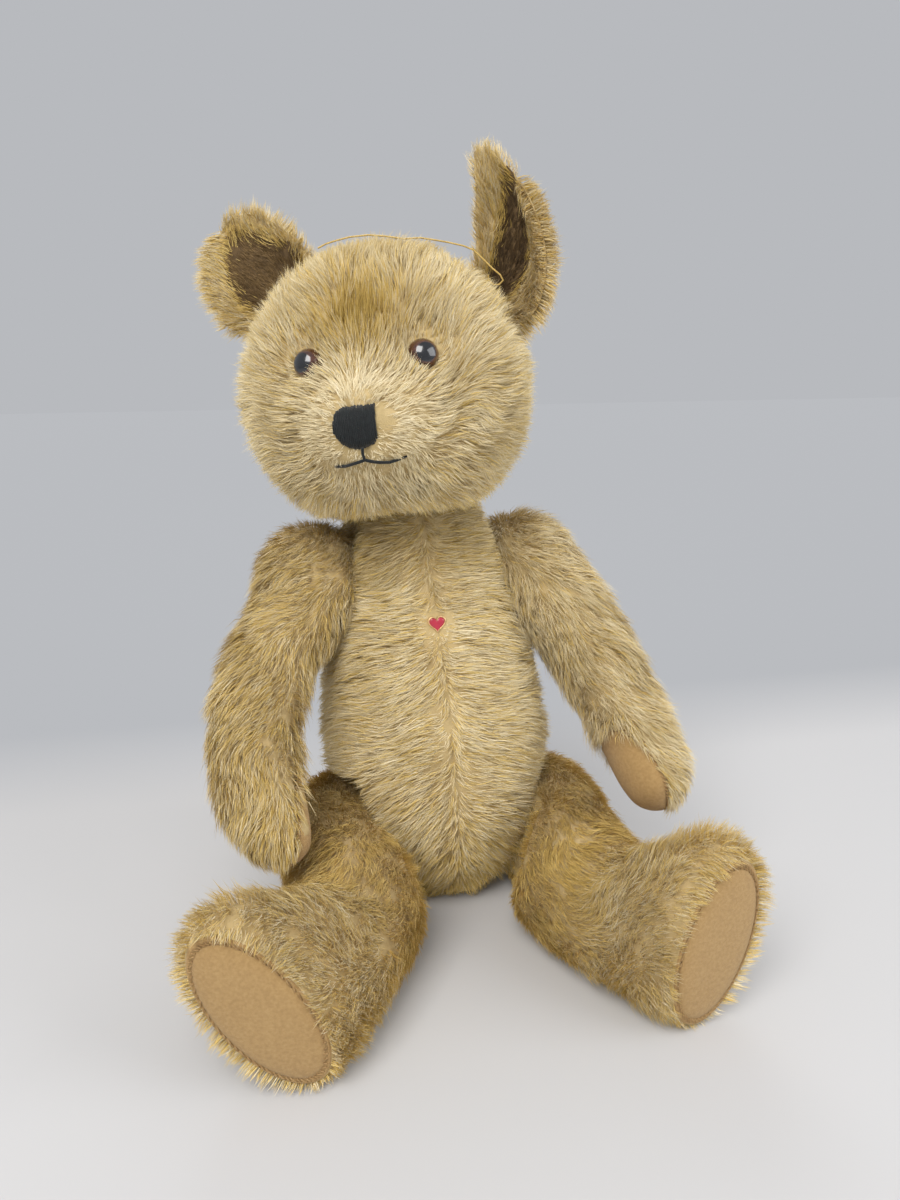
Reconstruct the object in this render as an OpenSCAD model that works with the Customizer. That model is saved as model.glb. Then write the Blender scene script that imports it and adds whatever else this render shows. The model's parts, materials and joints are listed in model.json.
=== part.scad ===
// Jointed mohair teddy bear, seated: wood-wool stuffing, five disc joints, felt pads, glass eyes.
// Millimetres, +Z up. The bear faces -Y and its own left hand is on +X.
// The origin is on the flat of the seat, under the torso, where the bear rests on a surface.

/* [Torso] */
// Length of the torso from the seat to the neck joint
torso_len = 220; // [210:1:228]
// Widest half width of the torso
torso_half_w = 54; // [46:1:56]
// Widest half depth of the torso
torso_half_d = 48; // [42:1:54]
// Angle that the torso leans back
lean_back = 12; // [6:1:16]
// Angle that the torso leans towards the bear's right
lean_side = 3; // [0:1:5]

/* [Head] */
// Half width of the head at the cheeks
head_half_w = 66; // [60:1:70]
// Height of the head's centre above the neck joint
head_rise = 58; // [54:1:61]
// Turn of the head towards the bear's right
head_turn = 17; // [0:1:30]
// Tilt of the head towards the bear's right
head_tilt = 5; // [0:1:8]
// Diameter of the glass eyes
eye_d = 14; // [10:0.5:18]
// Distance between the eyes
eye_gap = 52; // [44:1:60]
// Width of each ear
ear_w = 56; // [44:1:64]
// Height of each ear
ear_h = 56; // [40:1:60]

/* [Arms] */
// Distance of a shoulder joint from the torso's centre line
shoulder_out = 41; // [38:0.5:42]
// Length of an arm beyond its joint
arm_len = 150; // [130:1:160]
// Angle of the arms below level
arm_droop = 46; // [35:1:50]
// Upward slope of the right shoulder joint, which spreads the arm
shoulder_slope_right = 14.5; // [11:0.5:16]
// Upward slope of the left shoulder joint
shoulder_slope_left = 18; // [15:1:20]

/* [Legs] */
// Distance of a hip joint from the torso's centre line
hip_out = 34; // [32:0.5:36]
// Height of the hip joints above the seat
hip_rise = 36; // [34:1:42]
// Length of a leg beyond its joint
leg_len = 148; // [140:1:160]
// Outward turn of the hip joints
hip_turn = 12; // [6:1:18]
// Downward slope of the hip joints
hip_slope = 9; // [4:1:14]

/* [Joint parts] */
// Diameter of the wires of a split pin, taken together
pin_d = 4; // [3:0.5:5]
// Thickness of a fibreboard disc
disc_t = 3; // [2:0.5:4]
// Thickness of the mohair cloth and its pile base
cloth_t = 1.6; // [1.2:0.1:2]

/* [Hidden] */

// Colours
mohair = [0.76, 0.68, 0.50];
mohair_dark = [0.66, 0.56, 0.38];
felt = [0.82, 0.69, 0.50];
wood_wool = [0.85, 0.75, 0.52];
card_grey = [0.62, 0.58, 0.50];
fibreboard = [0.45, 0.32, 0.20];
steel = [0.70, 0.70, 0.72];
thread_black = [0.07, 0.08, 0.08];
gold = [0.83, 0.64, 0.30];

// Fits and gaps
fit_gap = 0.08;        // radial clearance of a split pin in its discs and washers
joint_gap = 0.6;       // space between the cloths of two bodies at a joint
loose = 0.4;           // space between a cloth and the stuffing behind it
cloth_hole_r = 5;      // hole in a cloth for a split pin
washer_r = 9;
washer_t = 1;
washer_space = 0.05;   // space between a disc, its washer and the pin's eye
neck_disc_r = 18;
shoulder_disc_r = 13.5;
hip_disc_r = 16;
pocket_side = 1.3;     // space round a disc in the stuffing
pocket_depth = 20;     // depth of the room for a disc, its washer and the pin's end
arc_steps = 48;        // facets of the round joint parts

// ---- vectors, frames and grids of points ----
function unit(v) = v / norm(v);
function lerp(a, b, t) = a + (b - a) * t;
// A point given in a frame [origin, x direction, y direction, z direction]
function to_world(f, p) = f[0] + p.x * f[1] + p.y * f[2] + p.z * f[3];
function frame_matrix(f) = [
    [f[1].x, f[2].x, f[3].x, f[0].x],
    [f[1].y, f[2].y, f[3].y, f[0].y],
    [f[1].z, f[2].z, f[3].z, f[0].z],
    [0, 0, 0, 1]];
// A point kept on the inner side of a plane
function keep_behind(p, c, n, d) = let (e = (p - c) * n - d) e > 0 ? p - e * n : p;
// A point kept at or above a height
function keep_above(p, z) = [p.x, p.y, max(p.z, z)];
// A grid moved inwards by a distance, ring by ring; its rings close on themselves
function inset(g, d) = [
    for (i = [0 : len(g) - 1]) [
        for (j = [0 : len(g[i]) - 1])
            let (n = len(g[i]),
                 along = g[min(i + 1, len(g) - 1)][j] - g[max(i - 1, 0)][j],
                 around = g[i][(j + 1) % n] - g[i][(j + n - 1) % n])
            g[i][j] - d * unit(cross(around, along))]];
function flat(list) = [for (row = list) for (v = row) v];

// A closed solid through rings of points, with flat ends
module loft(g) {
    rings = len(g);
    n = len(g[0]);
    sides = [
        for (i = [0 : rings - 2], j = [0 : n - 1])
            let (a = i * n + j, b = i * n + (j + 1) % n, c = a + n, d = b + n)
            each [[a, d, b], [a, c, d]]];
    first = [[for (j = [0 : n - 1]) j]];
    last = [[for (j = [n - 1 : -1 : 0]) (rings - 1) * n + j]];
    polyhedron(points = flat(g), faces = concat(sides, first, last), convexity = 8);
}

// A round thread along a route
thread_sides = 8;
function tube_ring(p, d, r, n) =
    let (u = unit(cross(d, [0.3, 1, 0.2])), v = cross(d, u))
    [for (j = [0 : n - 1]) p + r * (cos(360 * j / n) * u + sin(360 * j / n) * v)];
module thread(route, r) {
    last = len(route) - 1;
    loft([
        for (i = [0 : last])
            let (way = route[min(i + 1, last)] - route[max(i - 1, 0)])
            tube_ring(route[i], unit(way), r, thread_sides)]);
}

// A sheet of cloth between an outer and an inner grid, over a range of columns
module cloth(outer, inner, j0, j1) {
    rings = len(outer);
    n = len(outer[0]);
    w = j1 - j0 + 1;
    half = rings * w;
    points = concat(
        [for (i = [0 : rings - 1], j = [j0 : j1]) outer[i][j % n]],
        [for (i = [0 : rings - 1], j = [j0 : j1]) inner[i][j % n]]);
    faces = [
        for (i = [0 : rings - 2], j = [0 : w - 2])
            let (a = i * w + j, b = a + 1, c = a + w, d = c + 1)
            each [[a, d, b], [a, c, d],
                  [a + half, b + half, d + half], [a + half, d + half, c + half]]];
    start_edge = [
        for (j = [0 : w - 2]) each [[j, j + 1 + half, j + half], [j, j + 1, j + 1 + half]]];
    end_edge = [
        for (j = [0 : w - 2])
            let (a = (rings - 1) * w + j)
            each [[a, a + 1 + half, a + 1], [a, a + half, a + 1 + half]]];
    low_edge = [
        for (i = [0 : rings - 2])
            let (a = i * w, c = a + w) each [[a, c + half, c], [a, a + half, c + half]]];
    high_edge = [
        for (i = [0 : rings - 2])
            let (a = i * w + w - 1, c = a + w) each [[a, c + half, a + half], [a, c, c + half]]];
    polyhedron(points = points,
        faces = concat(faces, start_edge, end_edge, low_edge, high_edge), convexity = 8);
}

// ---- the torso: stations [part of the length, half width, half depth, shift to the front] ----
torso_sides = 24;
torso_axis = unit([-tan(lean_side), tan(lean_back), 1]);
torso_front = unit(cross(torso_axis, [1, 0, 0])) * -1;
torso_side = cross(torso_front, torso_axis) * -1;
seat_drop = 4;   // the stuffed bottom would reach this far below the surface it rests on
torso_stations = [
    [0.000, 0.05, 0.05, -0.12], [0.010, 0.20, 0.24, -0.12], [0.040, 0.38, 0.44, -0.10],
    [0.085, 0.54, 0.60, -0.06], [0.150, 0.72, 0.77, 0.00], [0.230, 0.88, 0.90, 0.04],
    [0.330, 0.97, 0.98, 0.07], [0.440, 1.00, 1.00, 0.07], [0.550, 0.98, 0.98, 0.05],
    [0.660, 0.94, 0.93, 0.02], [0.770, 0.90, 0.86, -0.01], [0.860, 0.86, 0.79, -0.02],
    [0.930, 0.79, 0.71, -0.01], [0.970, 0.70, 0.65, 0.00], [0.990, 0.60, 0.60, 0.00],
    [1.000, 0.52, 0.52, 0.00]];
function on_torso_axis(k) = [0, 0, -seat_drop] + k * torso_len * torso_axis;

// Frames of the five joints: origin, outward direction of the axis, direction that the limb
// reaches in, and the direction across both, which points up or to the front.
// side is -1 on the bear's right and 1 on its left.
sides = [-1, 1];
function index(side) = side < 0 ? 0 : 1;
shoulder_slope = [shoulder_slope_right, shoulder_slope_left];
shoulder_turn = [-4, 4];     // outward turn of the right and of the left shoulder joint
function joint_frame(origin, side, turn, slope, droop) =
    let (ahead = [side * sin(turn), -cos(turn), 0],
         level = [side * cos(turn), sin(turn), 0],
         out = cos(slope) * level + [0, 0, sin(slope)],
         up = [0, 0, cos(slope)] - sin(slope) * level)
    [origin, out, cos(droop) * ahead - sin(droop) * up, cos(droop) * up + sin(droop) * ahead];
neck_frame = [on_torso_axis(1), torso_axis, torso_side, torso_front];
function shoulder_frame(side) =
    joint_frame(on_torso_axis(0.805) + [side * shoulder_out, -2, 0],
        side, shoulder_turn[index(side)], shoulder_slope[index(side)], arm_droop);
function hip_frame(side) =
    joint_frame([side * hip_out - 2, 8, hip_rise], side, hip_turn, -hip_slope, 0);

// The torso's outside: an egg flattened at the seat, the neck and the four limb joints
hip_flat_r = 50;      // reach of the flat at a hip joint
hip_flat_top = 42;    // height of that flat above the joint
hip_full_r = 27;      // within this reach of the joint the stuffing fills the cloth out to the flat
hip_full_depth = 10;  // depth of that filling below the flat
function by_hip(p, f, d) =
    let (e = p - f[0], out = e * f[1], r = norm(e - out * f[1]))
    r < hip_full_r && out > -hip_full_depth ? p + (d - out) * f[1]
        : r < hip_flat_r && e * f[3] < hip_flat_top ? keep_behind(p, f[0], f[1], d) : p;
function by_joints(p, d) =
    let (a = keep_behind(p, shoulder_frame(-1)[0], shoulder_frame(-1)[1], d),
         b = keep_behind(a, shoulder_frame(1)[0], shoulder_frame(1)[1], d),
         c = by_hip(b, hip_frame(-1), d),
         e = by_hip(c, hip_frame(1), d))
    keep_above(keep_behind(e, neck_frame[0], torso_axis, d), -d);
function torso_ring(row) = [
    for (j = [0 : torso_sides - 1])
        let (a = 360 * j / torso_sides)
        on_torso_axis(row[0])
            + torso_half_w * row[1] * sin(a) * torso_side
            + torso_half_d * (row[2] * cos(a) + row[3]) * torso_front];
function torso_skin(depth) =
    let (g = [for (row = torso_stations) [for (p = torso_ring(row)) by_joints(p, 0)]])
    depth == 0 ? g : [for (ring = inset(g, depth)) [for (p = ring) by_joints(p, -depth)]];

// ---- shared parts of the joints, drawn along X from the plane between two bodies ----
module along(f) {
    multmatrix(frame_matrix([f[0], unit(cross(f[2], cross(f[1], f[2]))), f[2], cross(f[1], f[2])]))
        children();
}
module tube_x(r, bore_r, x0, x1) {
    translate([x0, 0, 0]) rotate([0, 90, 0])
        difference() {
            cylinder(r = r, h = x1 - x0, $fn = arc_steps);
            if (bore_r > 0)
                translate([0, 0, -1]) cylinder(r = bore_r, h = x1 - x0 + 2, $fn = arc_steps);
        }
}
bore_r = pin_d / 2 + fit_gap;
disc_at = cloth_t + 0.4;                       // depth of a disc's near face behind the plane
washer_at = disc_at + disc_t + washer_space;
pin_at = washer_at + washer_t + washer_space;  // depth of the split pin's eye and curls
// Discs of the limb's side lie beyond the plane, and those of the torso's side before it
module limb_disc(r) {
    color(fibreboard) tube_x(r, bore_r, joint_gap + disc_at, joint_gap + disc_at + disc_t);
}
module torso_disc(r) {
    color(fibreboard) tube_x(r, bore_r, -disc_at - disc_t, -disc_at);
}
module limb_washer() {
    color(steel)
        tube_x(washer_r, bore_r, joint_gap + washer_at, joint_gap + washer_at + washer_t);
}
module torso_washer() {
    color(steel) tube_x(washer_r, bore_r, -washer_at - washer_t, -washer_at);
}
// A split pin: an eye on the limb's side, and two ends curled outwards on the torso's side
module split_pin() {
    wire_r = pin_d / 4;
    eye_r = pin_d * 0.9;
    curl_r = pin_d * 0.7;
    color(steel) {
        tube_x(pin_d / 2, 0, -pin_at - 1.5 * wire_r, joint_gap + pin_at + 1.5 * wire_r);
        translate([joint_gap + pin_at + eye_r + wire_r, 0, 0])
            rotate_extrude($fn = 32) translate([eye_r, 0]) circle(r = wire_r, $fn = 16);
        for (turn = [0, 180])
            rotate([turn, 0, 0]) translate([-pin_at - wire_r, curl_r + 0.8 * wire_r, 0])
                rotate([0, 0, 90]) rotate_extrude(angle = 180, $fn = 32)
                    translate([curl_r, 0]) circle(r = wire_r, $fn = 16);
    }
}
// Room in the stuffing behind a joint, on the limb's side or on the torso's side
module pocket(r) {
    tube_x(r + pocket_side, 0, -pocket_depth, pocket_depth);
}
// Holes for the split pins
module pin_hole() {
    tube_x(cloth_hole_r, 0, -pocket_depth, pocket_depth);
}

// ---- torso parts ----
module torso_openings(kind) {
    for (side = sides) {
        along(shoulder_frame(side)) if (kind == "pin") pin_hole(); else pocket(shoulder_disc_r);
        along(hip_frame(side)) if (kind == "pin") pin_hole(); else pocket(hip_disc_r);
    }
    along(neck_frame) if (kind == "pin") pin_hole(); else pocket(neck_disc_r);
}
module torso_panel(j0, j1) {
    color(mohair) resize([0, 0, 0]) difference() {
        cloth(torso_skin(0), torso_skin(cloth_t), j0, j1);
        torso_openings("pin");
    }
}
module torso_panel_left() torso_panel(0, torso_sides / 2);
module torso_panel_right() torso_panel(torso_sides / 2, torso_sides);
module torso_stuffing() {
    color(wood_wool) resize([0, 0, 0]) difference() {
        loft(torso_skin(cloth_t + loose));
        torso_openings("pocket");
    }
}

// ---- limbs: stations [place along the limb, centre outwards, half thickness, top, bottom] ----
limb_sides = 16;
function limb_ring(f, side, row, shift, twist) = [
    for (j = [0 : limb_sides - 1])
        let (a = -side * 360 * j / limb_sides,
             mid = (row[3] + row[4]) / 2,
             x = row[2] * sin(a),
             z = (row[3] - row[4]) / 2 * cos(a) + mid)
        to_world(f, [row[1] + shift + x * cos(twist) + z * sin(twist), row[0],
                     z * cos(twist) - x * sin(twist)])];
// Columns of the outer half and of the inner half of a limb, as [first, last]
function outer_half(side) = side < 0 ? [0, limb_sides / 2] : [limb_sides / 2, limb_sides];
function inner_half(side) = side < 0 ? [limb_sides / 2, limb_sides] : [0, limb_sides / 2];
function rows(g, first, last) = [for (i = [first : last]) g[i]];

// Arms
arm_bow = [17, 5];      // outward bow of the right and of the left arm
bow_start = 20;         // place along an arm where its bow begins
arm_twist = [-22, 0];   // inward roll of the right and of the left paw
wrist = 9;              // ring where the mohair ends and the felt of the paw begins
arm_stations = [
    [-27, 20, 3, 3, -3], [-25, 19, 10, 10, -11], [-19, 17, 19, 19, -19], [-9, 17, 24.5, 25, -24],
    [6, 18.5, 26, 28, -26], [25, 21.5, 23.5, 28, -25], [50, 24, 20, 25, -24],
    [75, 24, 19, 22, -24], [92, 24, 17.5, 21, -23], [106, 24, 17, 21, -22],
    [120, 24, 17, 22, -21], [134, 24, 16, 21, -19], [145, 24, 13, 18, -15],
    [151, 24, 8, 12, -9], [154, 24, 2.5, 5, -2]];
function arm_skin(side, depth) =
    let (f = shoulder_frame(side), k = arm_len / 154,
         g = [for (row = arm_stations)
             let (s = max(row[0], 0) * k,
                  r = [row[0] < 0 ? row[0] : s, row[1], row[2], row[3], row[4]],
                  bent = max(0, s - bow_start) / (arm_len - bow_start),
                  bow = arm_bow[index(side)] * sin(180 * bent),
                  turn = arm_twist[index(side)] * min(1, bent * 1.6))
             [for (p = limb_ring(f, side, r, bow, turn)) keep_outside(p, f, joint_gap)]])
    depth == 0 ? g
        : [for (ring = inset(g, depth)) [for (p = ring) keep_outside(p, f, joint_gap + depth)]];
function keep_outside(p, f, d) = keep_behind(p, f[0], -f[1], -d);
module arm_cloth(side, half, first, last, shade) {
    color(shade) resize([0, 0, 0]) difference() {
        cloth(rows(arm_skin(side, 0), first, last), rows(arm_skin(side, cloth_t), first, last),
            half[0], half[1]);
        along(shoulder_frame(side)) pin_hole();
    }
}
arm_last = len(arm_stations) - 1;
module arm_outer(side) arm_cloth(side, outer_half(side), 0, arm_last, mohair);
module arm_inner(side) arm_cloth(side, inner_half(side), 0, wrist, mohair);
module paw_pad(side) arm_cloth(side, inner_half(side), wrist, arm_last, felt);
module arm_stuffing(side) {
    color(wood_wool) resize([0, 0, 0]) difference() {
        loft(arm_skin(side, cloth_t + loose));
        along(shoulder_frame(side)) pocket(shoulder_disc_r);
    }
}

// Legs
leg_twist = [25, 5];    // outward roll of the right and of the left foot
leg_splay = [10, 4];     // outward shift of the right and of the left foot
hip_flat = 45;          // reach of a thigh's flat inner side; beyond it the thigh swells inwards
hip_swell = 1.3;        // slope of that swelling
leg_stations = [
    [-34, 23, 3, 4, -4], [-32, 22, 12, 12, -12], [-26, 20.5, 20.5, 21, -21],
    [-15, 20.5, 27.5, 29, -32], [0, 22, 30, 33, -37], [18, 22.5, 29.5, 34, -37],
    [38, 16, 30, 34, -37], [58, 9, 31, 33, -37],
    [76, 7, 29, 31, -36], [94, 9, 26, 30, -34], [108, 13, 24, 34, -33], [121, 17, 23.5, 44, -32],
    [132, 20, 23.5, 53, -32], [141, 22, 22.5, 55, -32], [148, 23.5, 20, 52, -30]];
function swell_limit(p, f) =
    let (e = p - f[0], r = norm(e - (e * f[1]) * f[1]))
    max(0, r - hip_flat) * hip_swell;
function leg_skin(side, depth) =
    let (f = hip_frame(side), k = leg_len / 148,
         g = [for (row = leg_stations)
             let (s = row[0] < 0 ? row[0] : row[0] * k,
                  r = [s, row[1], row[2], row[3], row[4]],
                  turn = leg_twist[index(side)] * min(1, max(0, (s - 50) / 75)))
             let (shift = leg_splay[index(side)] * pow(max(0, s) / leg_len, 2))
             [for (p = limb_ring(f, side, r, shift, turn))
                 keep_above(keep_outside(p, f, joint_gap - swell_limit(p, f)), 0)]])
    depth == 0 ? g
        : [for (ring = inset(g, depth)) [for (p = ring)
            keep_above(keep_outside(p, f, joint_gap + depth - swell_limit(p, f)), depth)]];
leg_last = len(leg_stations) - 1;
module leg_cloth(side, half) {
    color(mohair) resize([0, 0, 0]) difference() {
        cloth(leg_skin(side, 0), leg_skin(side, cloth_t), half[0], half[1]);
        along(hip_frame(side)) pin_hole();
    }
}
module leg_outer(side) leg_cloth(side, outer_half(side));
module leg_inner(side) leg_cloth(side, inner_half(side));
module leg_stuffing(side) {
    color(wood_wool) resize([0, 0, 0]) difference() {
        loft(rows(leg_skin(side, cloth_t + loose), 0, leg_last - 1));
        along(hip_frame(side)) pocket(hip_disc_r);
    }
}
// A plate across the open end of the foot: a ring of it lies `inside` the cloth's edge, moved
// along the leg by `ahead` and scaled by `size`
function sole_ring(side, inside, ahead, size) =
    let (f = hip_frame(side), edge = leg_skin(side, 0)[leg_last],
         mid = [for (i = [0 : 2]) (edge[0][i] + edge[limb_sides / 2][i]) / 2])
    [for (p = edge)
        let (q = p - mid, r = norm(q)) mid + q * (r - inside) / r * size + ahead * f[2]];
felt_t = 1.5;
pad_inset = cloth_t + 0.9;   // distance of a foot pad's rim inside the leg's outer face
insole_t = 1.5;
module foot_pad(side) {
    color(felt) loft([
        sole_ring(side, pad_inset, -felt_t, 1), sole_ring(side, pad_inset, 0.2, 1),
        sole_ring(side, pad_inset, 1.1, 0.8), sole_ring(side, pad_inset, 1.6, 0.4)]);
}
module insole_card(side) {
    top = -felt_t - loose;
    color(card_grey) loft([
        sole_ring(side, cloth_t + 1, top - insole_t, 1), sole_ring(side, cloth_t + 1, top, 1)]);
}

// ---- the head: stations [place towards the nose, half width, top, bottom] ----
head_sides = 24;
gusset_half = 2;       // columns of the gusset on each side of the middle
head_stations = [
    [-62, 3, 8, 2], [-60, 19, 25, -17], [-53, 34, 41, -34], [-40, 50, 54, -49],
    [-21, 62, 63, -61], [0, 66, 67, -65], [19, 65, 65, -63], [35, 59, 58, -57],
    [48, 49, 45, -49], [58, 38, 28, -41], [67, 28, 15, -35], [75, 21, 9, -29],
    [80, 14, 4, -22], [82, 3, -5, -11]];
head_left = let (l = [cos(head_turn), -sin(head_turn), 0])
    cos(head_tilt) * l + [0, 0, sin(head_tilt)];
head_ahead = [-sin(head_turn), -cos(head_turn), 0];
head_up = let (l = [cos(head_turn), -sin(head_turn), 0])
    [0, 0, cos(head_tilt)] - sin(head_tilt) * l;
head_frame = [neck_frame[0] + [-13, -9, head_rise], head_left, head_ahead, head_up];
// The head's underside is full round the neck disc, and flat where it meets the neck
neck_full_r = 30;
neck_full_slope = 2;
neck_full_top = 30;    // height above the neck where that filling ends
neck_full_fade = 8;    // height over which it fades out
neck_slant = sqrt(1 + neck_full_slope * neck_full_slope);
function above_neck(p, d) =
    let (e = p - neck_frame[0], h = e * torso_axis, r = norm(e - h * torso_axis),
         top = (r - neck_full_r) * neck_full_slope + d * neck_slant,
         fill = min(1, max(0, (neck_full_top - h) / neck_full_fade)))
    p + fill * (max(d, min(h, top)) - h) * torso_axis;
function head_skin(depth) =
    let (k = head_half_w / 66,
         g = [for (row = head_stations) [
             for (j = [0 : head_sides - 1])
                 let (a = 360 * j / head_sides,
                      p = [-row[1] * k * sin(a), row[0],
                           (row[2] - row[3]) / 2 * cos(a) + (row[2] + row[3]) / 2])
                 above_neck(to_world(head_frame, p), joint_gap)]])
    depth == 0 ? g
        : [for (ring = inset(g, depth)) [for (p = ring) above_neck(p, joint_gap + depth)]];
module head_cloth(j0, j1) {
    color(mohair) resize([0, 0, 0]) difference() {
        cloth(head_skin(0), head_skin(cloth_t), j0, j1);
        along(neck_frame) pin_hole();
    }
}
module head_gusset() head_cloth(head_sides - gusset_half, head_sides + gusset_half);
module head_side_right() head_cloth(gusset_half, head_sides / 2);
module head_side_left() head_cloth(head_sides / 2, head_sides - gusset_half);
module head_stuffing() {
    color(wood_wool) resize([0, 0, 0]) difference() {
        loft(head_skin(cloth_t + loose));
        along(neck_frame) pocket(neck_disc_r);
    }
}
module on_head(p) {
    multmatrix(frame_matrix([to_world(head_frame, p), head_left, -head_ahead, head_up]))
        children();
}

// Glass eyes: a dome with a wire shank behind it, set into the head
eye_up = 19;
eye_ahead = 56;
eye_splay = 24;        // outward turn of an eye
eye_rise = 14;         // upward turn of an eye
shank_len = 14;
module eye(side) {
    r = eye_d / 2;
    on_head([side * eye_gap / 2, eye_ahead, eye_up])
        rotate([0, 0, side * eye_splay]) rotate([eye_rise, 0, 0]) rotate([90, 0, 0]) {
            color([0.16, 0.09, 0.05]) intersection() {
                translate([0, 0, -r * 0.35]) sphere(r = r, $fn = 48);
                cylinder(r = r, h = r, $fn = 48);
            }
            color(steel) translate([0, 0, -shank_len]) cylinder(r = 0.6, h = shank_len, $fn = 16);
        }
}
module eye_right() eye(-1);
module eye_left() eye(1);

// Nose: a block of close upright stitches, worn away on the bear's left
nose_w = 18.5;
nose_h = 18;
nose_t = 2;
nose_at = [-3.5, 81.5, -8];
module nose_embroidery() {
    color(thread_black) on_head(nose_at) rotate([90, 0, 0])
        linear_extrude(nose_t) hull() {
            translate([nose_w / 2 - 2, nose_h / 2 - 2]) circle(r = 2, $fn = 24);
            translate([nose_w / 2 - 4, -nose_h / 2 + 4]) circle(r = 4, $fn = 24);
            translate([-nose_w / 2 + 4, nose_h / 2 - 4]) circle(r = 4, $fn = 24);
            translate([-nose_w / 2 + 6.5, -nose_h / 2 + 6.5]) circle(r = 6.5, $fn = 32);
        }
}
// Mouth: an upright stitch and a line of stitches under it, as points in the head's frame
mouth_thread_r = 0.9;
mouth_stitches = [
    [[-0.5, 82, -17], [-0.5, 79.2, -21.8]],
    [[-15, 71, -25], [-8, 76, -25], [-0.5, 79.5, -21], [9, 76, -24], [19, 69, -21]]];
module mouth_embroidery() {
    color(thread_black) resize([0, 0, 0]) union()
        for (stitch = mouth_stitches)
            thread([for (p = stitch) to_world(head_frame, p)], mouth_thread_r);
}

// Ears: two curved sheets, cupped towards the front. The bear's left ear has been bent upright.
// Each ear has the points [base, bend, tip] of its middle line and the direction across its base
ear_lines = [
    [[-44, -4, 46], [-66, -4, 64], [-80, -9, 87]],
    [[52, -4, 37], [82, -8, 64], [67, -4, 100]]];
ear_across = [[0.74, 0, 0.67], [-0.54, -0.40, 0.74]];
ear_cup = [9, 12];     // depth of an ear's cup at its edges
ear_gap = 0.4;         // space between the two sheets of an ear
ear_columns = 10;
ear_rows = 6;
ear_edge = 0.97;       // the sheets end just short of a point at the tip
function ear_half(v) =
    ear_w / 2 * sqrt(1 - pow(v * ear_edge, 2.6)) * (0.74 + 0.26 * min(1, v * 3));
function ear_grid(i, depth) =
    let (line = ear_lines[i], across = unit(ear_across[i]), k = ear_h / 56,
         tip = line[0] + (line[2] - line[0]) * k, bend = line[0] + (line[1] - line[0]) * k,
         facing = unit(cross(across, line[2] - line[0])) * (i == 0 ? -1 : 1))
    [for (r = [0 : ear_rows])
        let (v = r / ear_rows, w = ear_half(v),
             mid = pow(1 - v, 2) * line[0] + 2 * v * (1 - v) * bend + v * v * tip)
        [for (c = [0 : ear_columns])
            let (u = 2 * c / ear_columns - 1, order = i == 0 ? 1 : -1)
            to_world(head_frame, mid + order * u * w * across
                + (ear_cup[i] * (pow(u * w / (ear_w / 2), 2) - 0.35 * v) - depth) * facing)]];
module ear_sheet(i, depth, shade) {
    color(shade) cloth(ear_grid(i, depth), ear_grid(i, depth + cloth_t), 0, ear_columns);
}
module ear_front(i) ear_sheet(i, 0, mohair_dark);
module ear_back(i) ear_sheet(i, cloth_t + ear_gap, mohair);

// Gold thread of a lost tag: it lies over the top of the head and ends in a small knotted loop
thread_r = 0.4;
tag_route = [
    [-58, 32, 338], [-54, 31, 340], [-49, 30, 341.5], [-43, 29, 343], [-34, 28, 344],
    [-26, 27, 343.5], [-17, 27, 342.5], [-9, 26, 343], [-1, 26, 342], [5, 25, 341],
    [12, 24, 339.5], [16.5, 22, 337.5], [21, 19.5, 333], [24.5, 16.5, 329], [28, 14.7, 326],
    [29.5, 14.7, 323.5], [27.5, 14.7, 321.5], [24.5, 14.7, 321.5], [22, 14.7, 323.5],
    [22, 14.2, 326]];
module tag_thread() {
    color(gold) thread(tag_route, thread_r);
}

// ---- small torso parts ----
// Closing stitches along the middle of the back, where the torso was sewn up last
module torso_closing_stitches() {
    stitch_count = 12;
    stitch_w = 7;
    stitch_r = 0.5;
    g = torso_skin(0);
    color(mohair_dark) for (i = [0 : stitch_count - 1]) {
        k = 5.5 + i * 0.4;
        a = lerp(g[floor(k)][torso_sides / 2], g[ceil(k)][torso_sides / 2], k - floor(k));
        translate(a + [0, stitch_r + 0.4, 0]) rotate([0, 90, 0])
            translate([0, 0, -stitch_w / 2]) cylinder(r = stitch_r, h = stitch_w, $fn = 16);
    }
}
// Heart pin on the chest: an enamelled heart in a metal rim, on a post with a clutch behind
heart_w = 9;
heart_t = 1.6;
heart_rim = 0.7;
heart_station = 10;
heart_at = torso_skin(0)[heart_station][0];
heart_off = [0, 0, -13] + 1.5 * torso_front;
module on_chest() {
    multmatrix(frame_matrix([heart_at + heart_off, torso_side, torso_front, torso_axis]))
        rotate([-90, 0, 0]) children();
}
module heart(w) {
    r = w * 0.27;
    hull() {
        translate([-r * 0.85, 0]) circle(r = r, $fn = 32);
        translate([0, -w * 0.52]) circle(r = 0.3, $fn = 16);
    }
    hull() {
        translate([r * 0.85, 0]) circle(r = r, $fn = 32);
        translate([0, -w * 0.52]) circle(r = 0.3, $fn = 16);
    }
}
module heart_pin_rim() {
    color(gold) on_chest() difference() {
        linear_extrude(heart_t) heart(heart_w);
        translate([0, 0, 0.6]) linear_extrude(heart_t) offset(delta = -heart_rim) heart(heart_w);
    }
}
module heart_pin_enamel() {
    color([0.70, 0.13, 0.20]) on_chest()
        translate([0, 0, 0.6]) linear_extrude(heart_t - 0.4) offset(delta = -heart_rim) heart(heart_w);
}
module heart_pin_clutch() {
    post_r = 0.5;
    post_len = 7;
    clutch_r = 4;
    color(gold) on_chest() {
        translate([0, 0, -post_len]) cylinder(r = post_r, h = post_len, $fn = 24);
        translate([0, 0, -post_len]) cylinder(r = clutch_r, h = 1.5, $fn = 32);
    }
}
module torso_joint_washers() {
    for (side = sides) {
        along(shoulder_frame(side)) torso_washer();
        along(hip_frame(side)) torso_washer();
    }
    along(neck_frame) torso_washer();
}

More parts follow.
